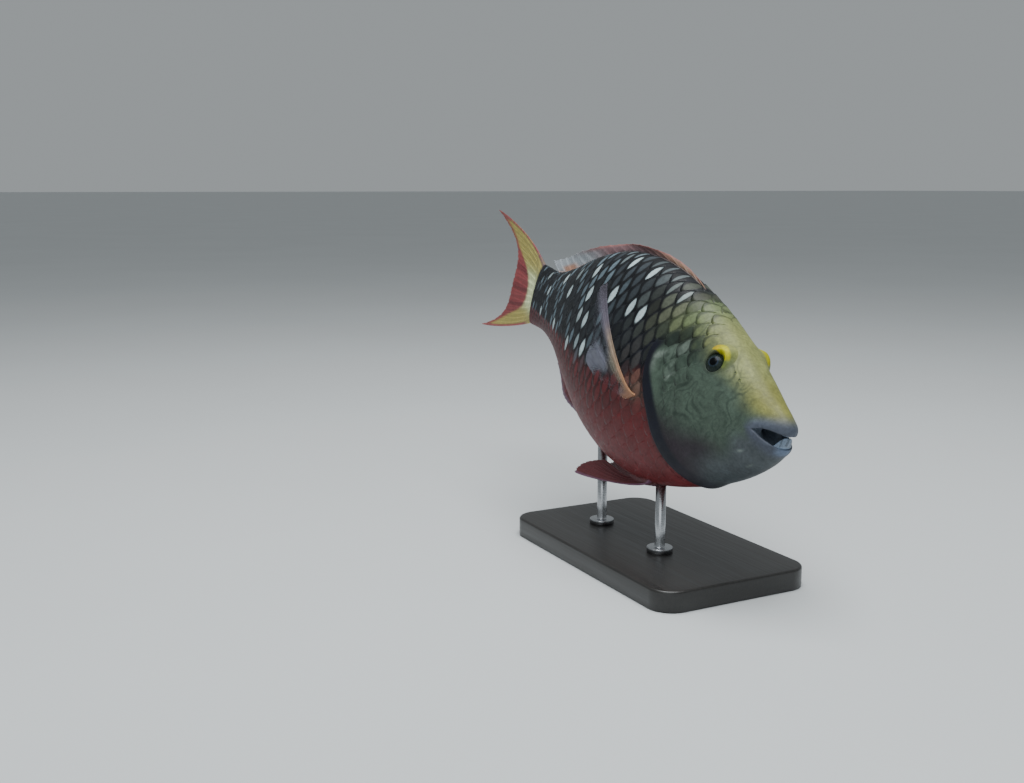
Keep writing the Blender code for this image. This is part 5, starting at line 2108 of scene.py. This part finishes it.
# stainless steel, turned and lightly polished: soft reflections with fine marks round the rod
SATIN_STEEL = Finish("satin_stainless_steel", "#B9BBBE", (0.2, 0.2, 6.0), ((1.2, 0.94, 1.06),),
                     (1.2, 0.22, 0.36), (1.2, 0.15, 0.02 * MM), metallic=1.0)
# studio paper: no gleam, the faintest mottling
MATT_PAPER = Finish("matt_grey_paper", "#CDD0D1", blots=((400.0, 0.98, 1.02),), gloss=(300.0, 0.88, 0.94),
                    relief=(2.0, 0.02, 0.1 * MM))


@dataclass(frozen=True)
class Studio:
    """Pale floor, soft lights and the camera at the photograph's angle."""

    body: Body
    lens: float = 40.68
    sensor: float = 36.0
    azimuth: float = radians(62.81)
    elevation: float = radians(10.0)
    # the camera's frame: the snout's place to the right, ahead and up, in metres
    snout_seen: tuple = (0.139, 0.5717, -0.0278)
    floor_reach: float = 60.0
    world_colour: str = "#DCE3E6"
    world_strength: float = 0.45

    def hang(self, data: bpy.types.ID, axes: Array, place: Array) -> Piece:
        """Puts a camera or a lamp into the scene.

        Args:
            data: the camera or lamp; the object has its name.
            axes: its right, the way it looks, and its up, as columns in the row frame.
            place: where it hangs.

        Returns:
            The object.
        """
        turn = np.eye(4)
        turn[:3, 0], turn[:3, 1], turn[:3, 2], turn[:3, 3] = axes[:, 0], axes[:, 2], -axes[:, 1], place
        thing = bpy.data.objects.new(data.name, data)
        thing.matrix_world = Matrix(turn.tolist())
        bpy.context.scene.collection.objects.link(thing)
        return thing

    def build_camera(self) -> None:
        """Camera that sees the snout where the photograph shows it."""
        across = np.array(Matrix.Rotation(self.azimuth, 3, "Z"))
        down = np.array(Matrix.Rotation(-self.elevation, 3, "X"))
        axes = across @ down
        data = bpy.data.cameras.new("camera")
        data.lens = self.lens
        data.sensor_width = self.sensor
        data.clip_start = 0.01
        place = np.array(self.body.snout_place) - axes @ np.array(self.snout_seen)
        bpy.context.scene.camera = self.hang(data, axes, place)

    def build_light(self, name: str, place: tuple, target: tuple, size: float, power: float,
                    colour: str) -> None:
        """Square soft light that faces a point.

        Args:
            name: its name.
            place: where it hangs.
            target: the point it faces.
            size: its side in metres.
            power: its power in watts.
            colour: its colour as a hex value.
        """
        data = bpy.data.lights.new(name, "AREA")
        data.size = size
        data.energy = power
        data.color = linear(colour)
        way = unit(np.array(target) - np.array(place))
        side = unit(np.cross(way, (0.0, 0.01, 1.0)))
        self.hang(data, np.stack([side, way, np.cross(side, way)], -1), place)

    def build_floor(self) -> None:
        """Wide flat floor."""
        mesh = bpy.data.meshes.new("floor")
        r = self.floor_reach
        mesh.from_pydata([(-r, -r, 0), (r, -r, 0), (r, r, 0), (-r, r, 0)], [], [(0, 1, 2, 3)])
        mesh.materials.append(MATT_PAPER.material())
        floor = bpy.data.objects.new("floor", mesh)
        bpy.context.scene.collection.objects.link(floor)

    def build_world(self) -> None:
        """Even pale surroundings."""
        world = bpy.data.worlds.new("studio")
        world.use_nodes = True
        background = world.node_tree.nodes["Background"]
        background.inputs["Color"].default_value = (*linear(self.world_colour), 1.0)
        background.inputs["Strength"].default_value = self.world_strength
        bpy.context.scene.world = world

    def build(self) -> None:
        """Sets the whole studio up."""
        self.build_world()
        self.build_floor()
        self.build_camera()
        self.build_light("overhead", (0.15, -0.10, 1.2), (0.0, 0.0, 0.1), 0.9, 20.0, "#FBFEFF")
        self.build_light("front_fill", (1.0, -0.8, 0.6), (0.0, 0.0, 0.1), 0.9, 3.0, "#F3FAFF")


def main() -> None:
    """Builds the fish and its stand piece by piece, then the studio."""
    logging.basicConfig(level=logging.INFO, format="%(message)s")
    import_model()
    body = Body()
    markings = Markings(body)
    mouth = Mouth(body)
    eyes = tuple(Eye(body, side) for side in Side)
    skin_finish = FishSkin().material()
    scale_finish = FishScale().material()
    finishes = (FIN_MEMBRANE, WET_EYE, TOOTH_ENAMEL, SATIN_STEEL)
    fin_finish, eye_finish, tooth_finish, steel = (finish.material() for finish in finishes)
    pieces = [Skin(body, markings, mouth, eyes).build(skin_finish)]
    pieces += [ScaleCoat(body, markings, side).build(scale_finish) for side in Side]
    pieces += [fin.build(fin_finish) for fin in every_fin(body)]
    for eye in eyes:
        pieces += [eye.build_ball(eye_finish), eye.build_orbit(markings, skin_finish)]
        pieces.append(Nostrils(body, markings, eye.side).build(skin_finish))
    pieces += [Beak(mouth, jaw).build(tooth_finish) for jaw in Jaw]
    stand = DisplayStand(body)
    pieces.append(stand.build_base(BLACK_STAINED_OAK.material()))
    pieces += [stand.build_rod(node, u, steel) for node, u in stand.rod_places]
    for piece in pieces:
        LOG.info("%s: %d faces", piece.name, len(piece.data.polygons))
    Studio(body).build()


if __name__ == "__main__":
    main()
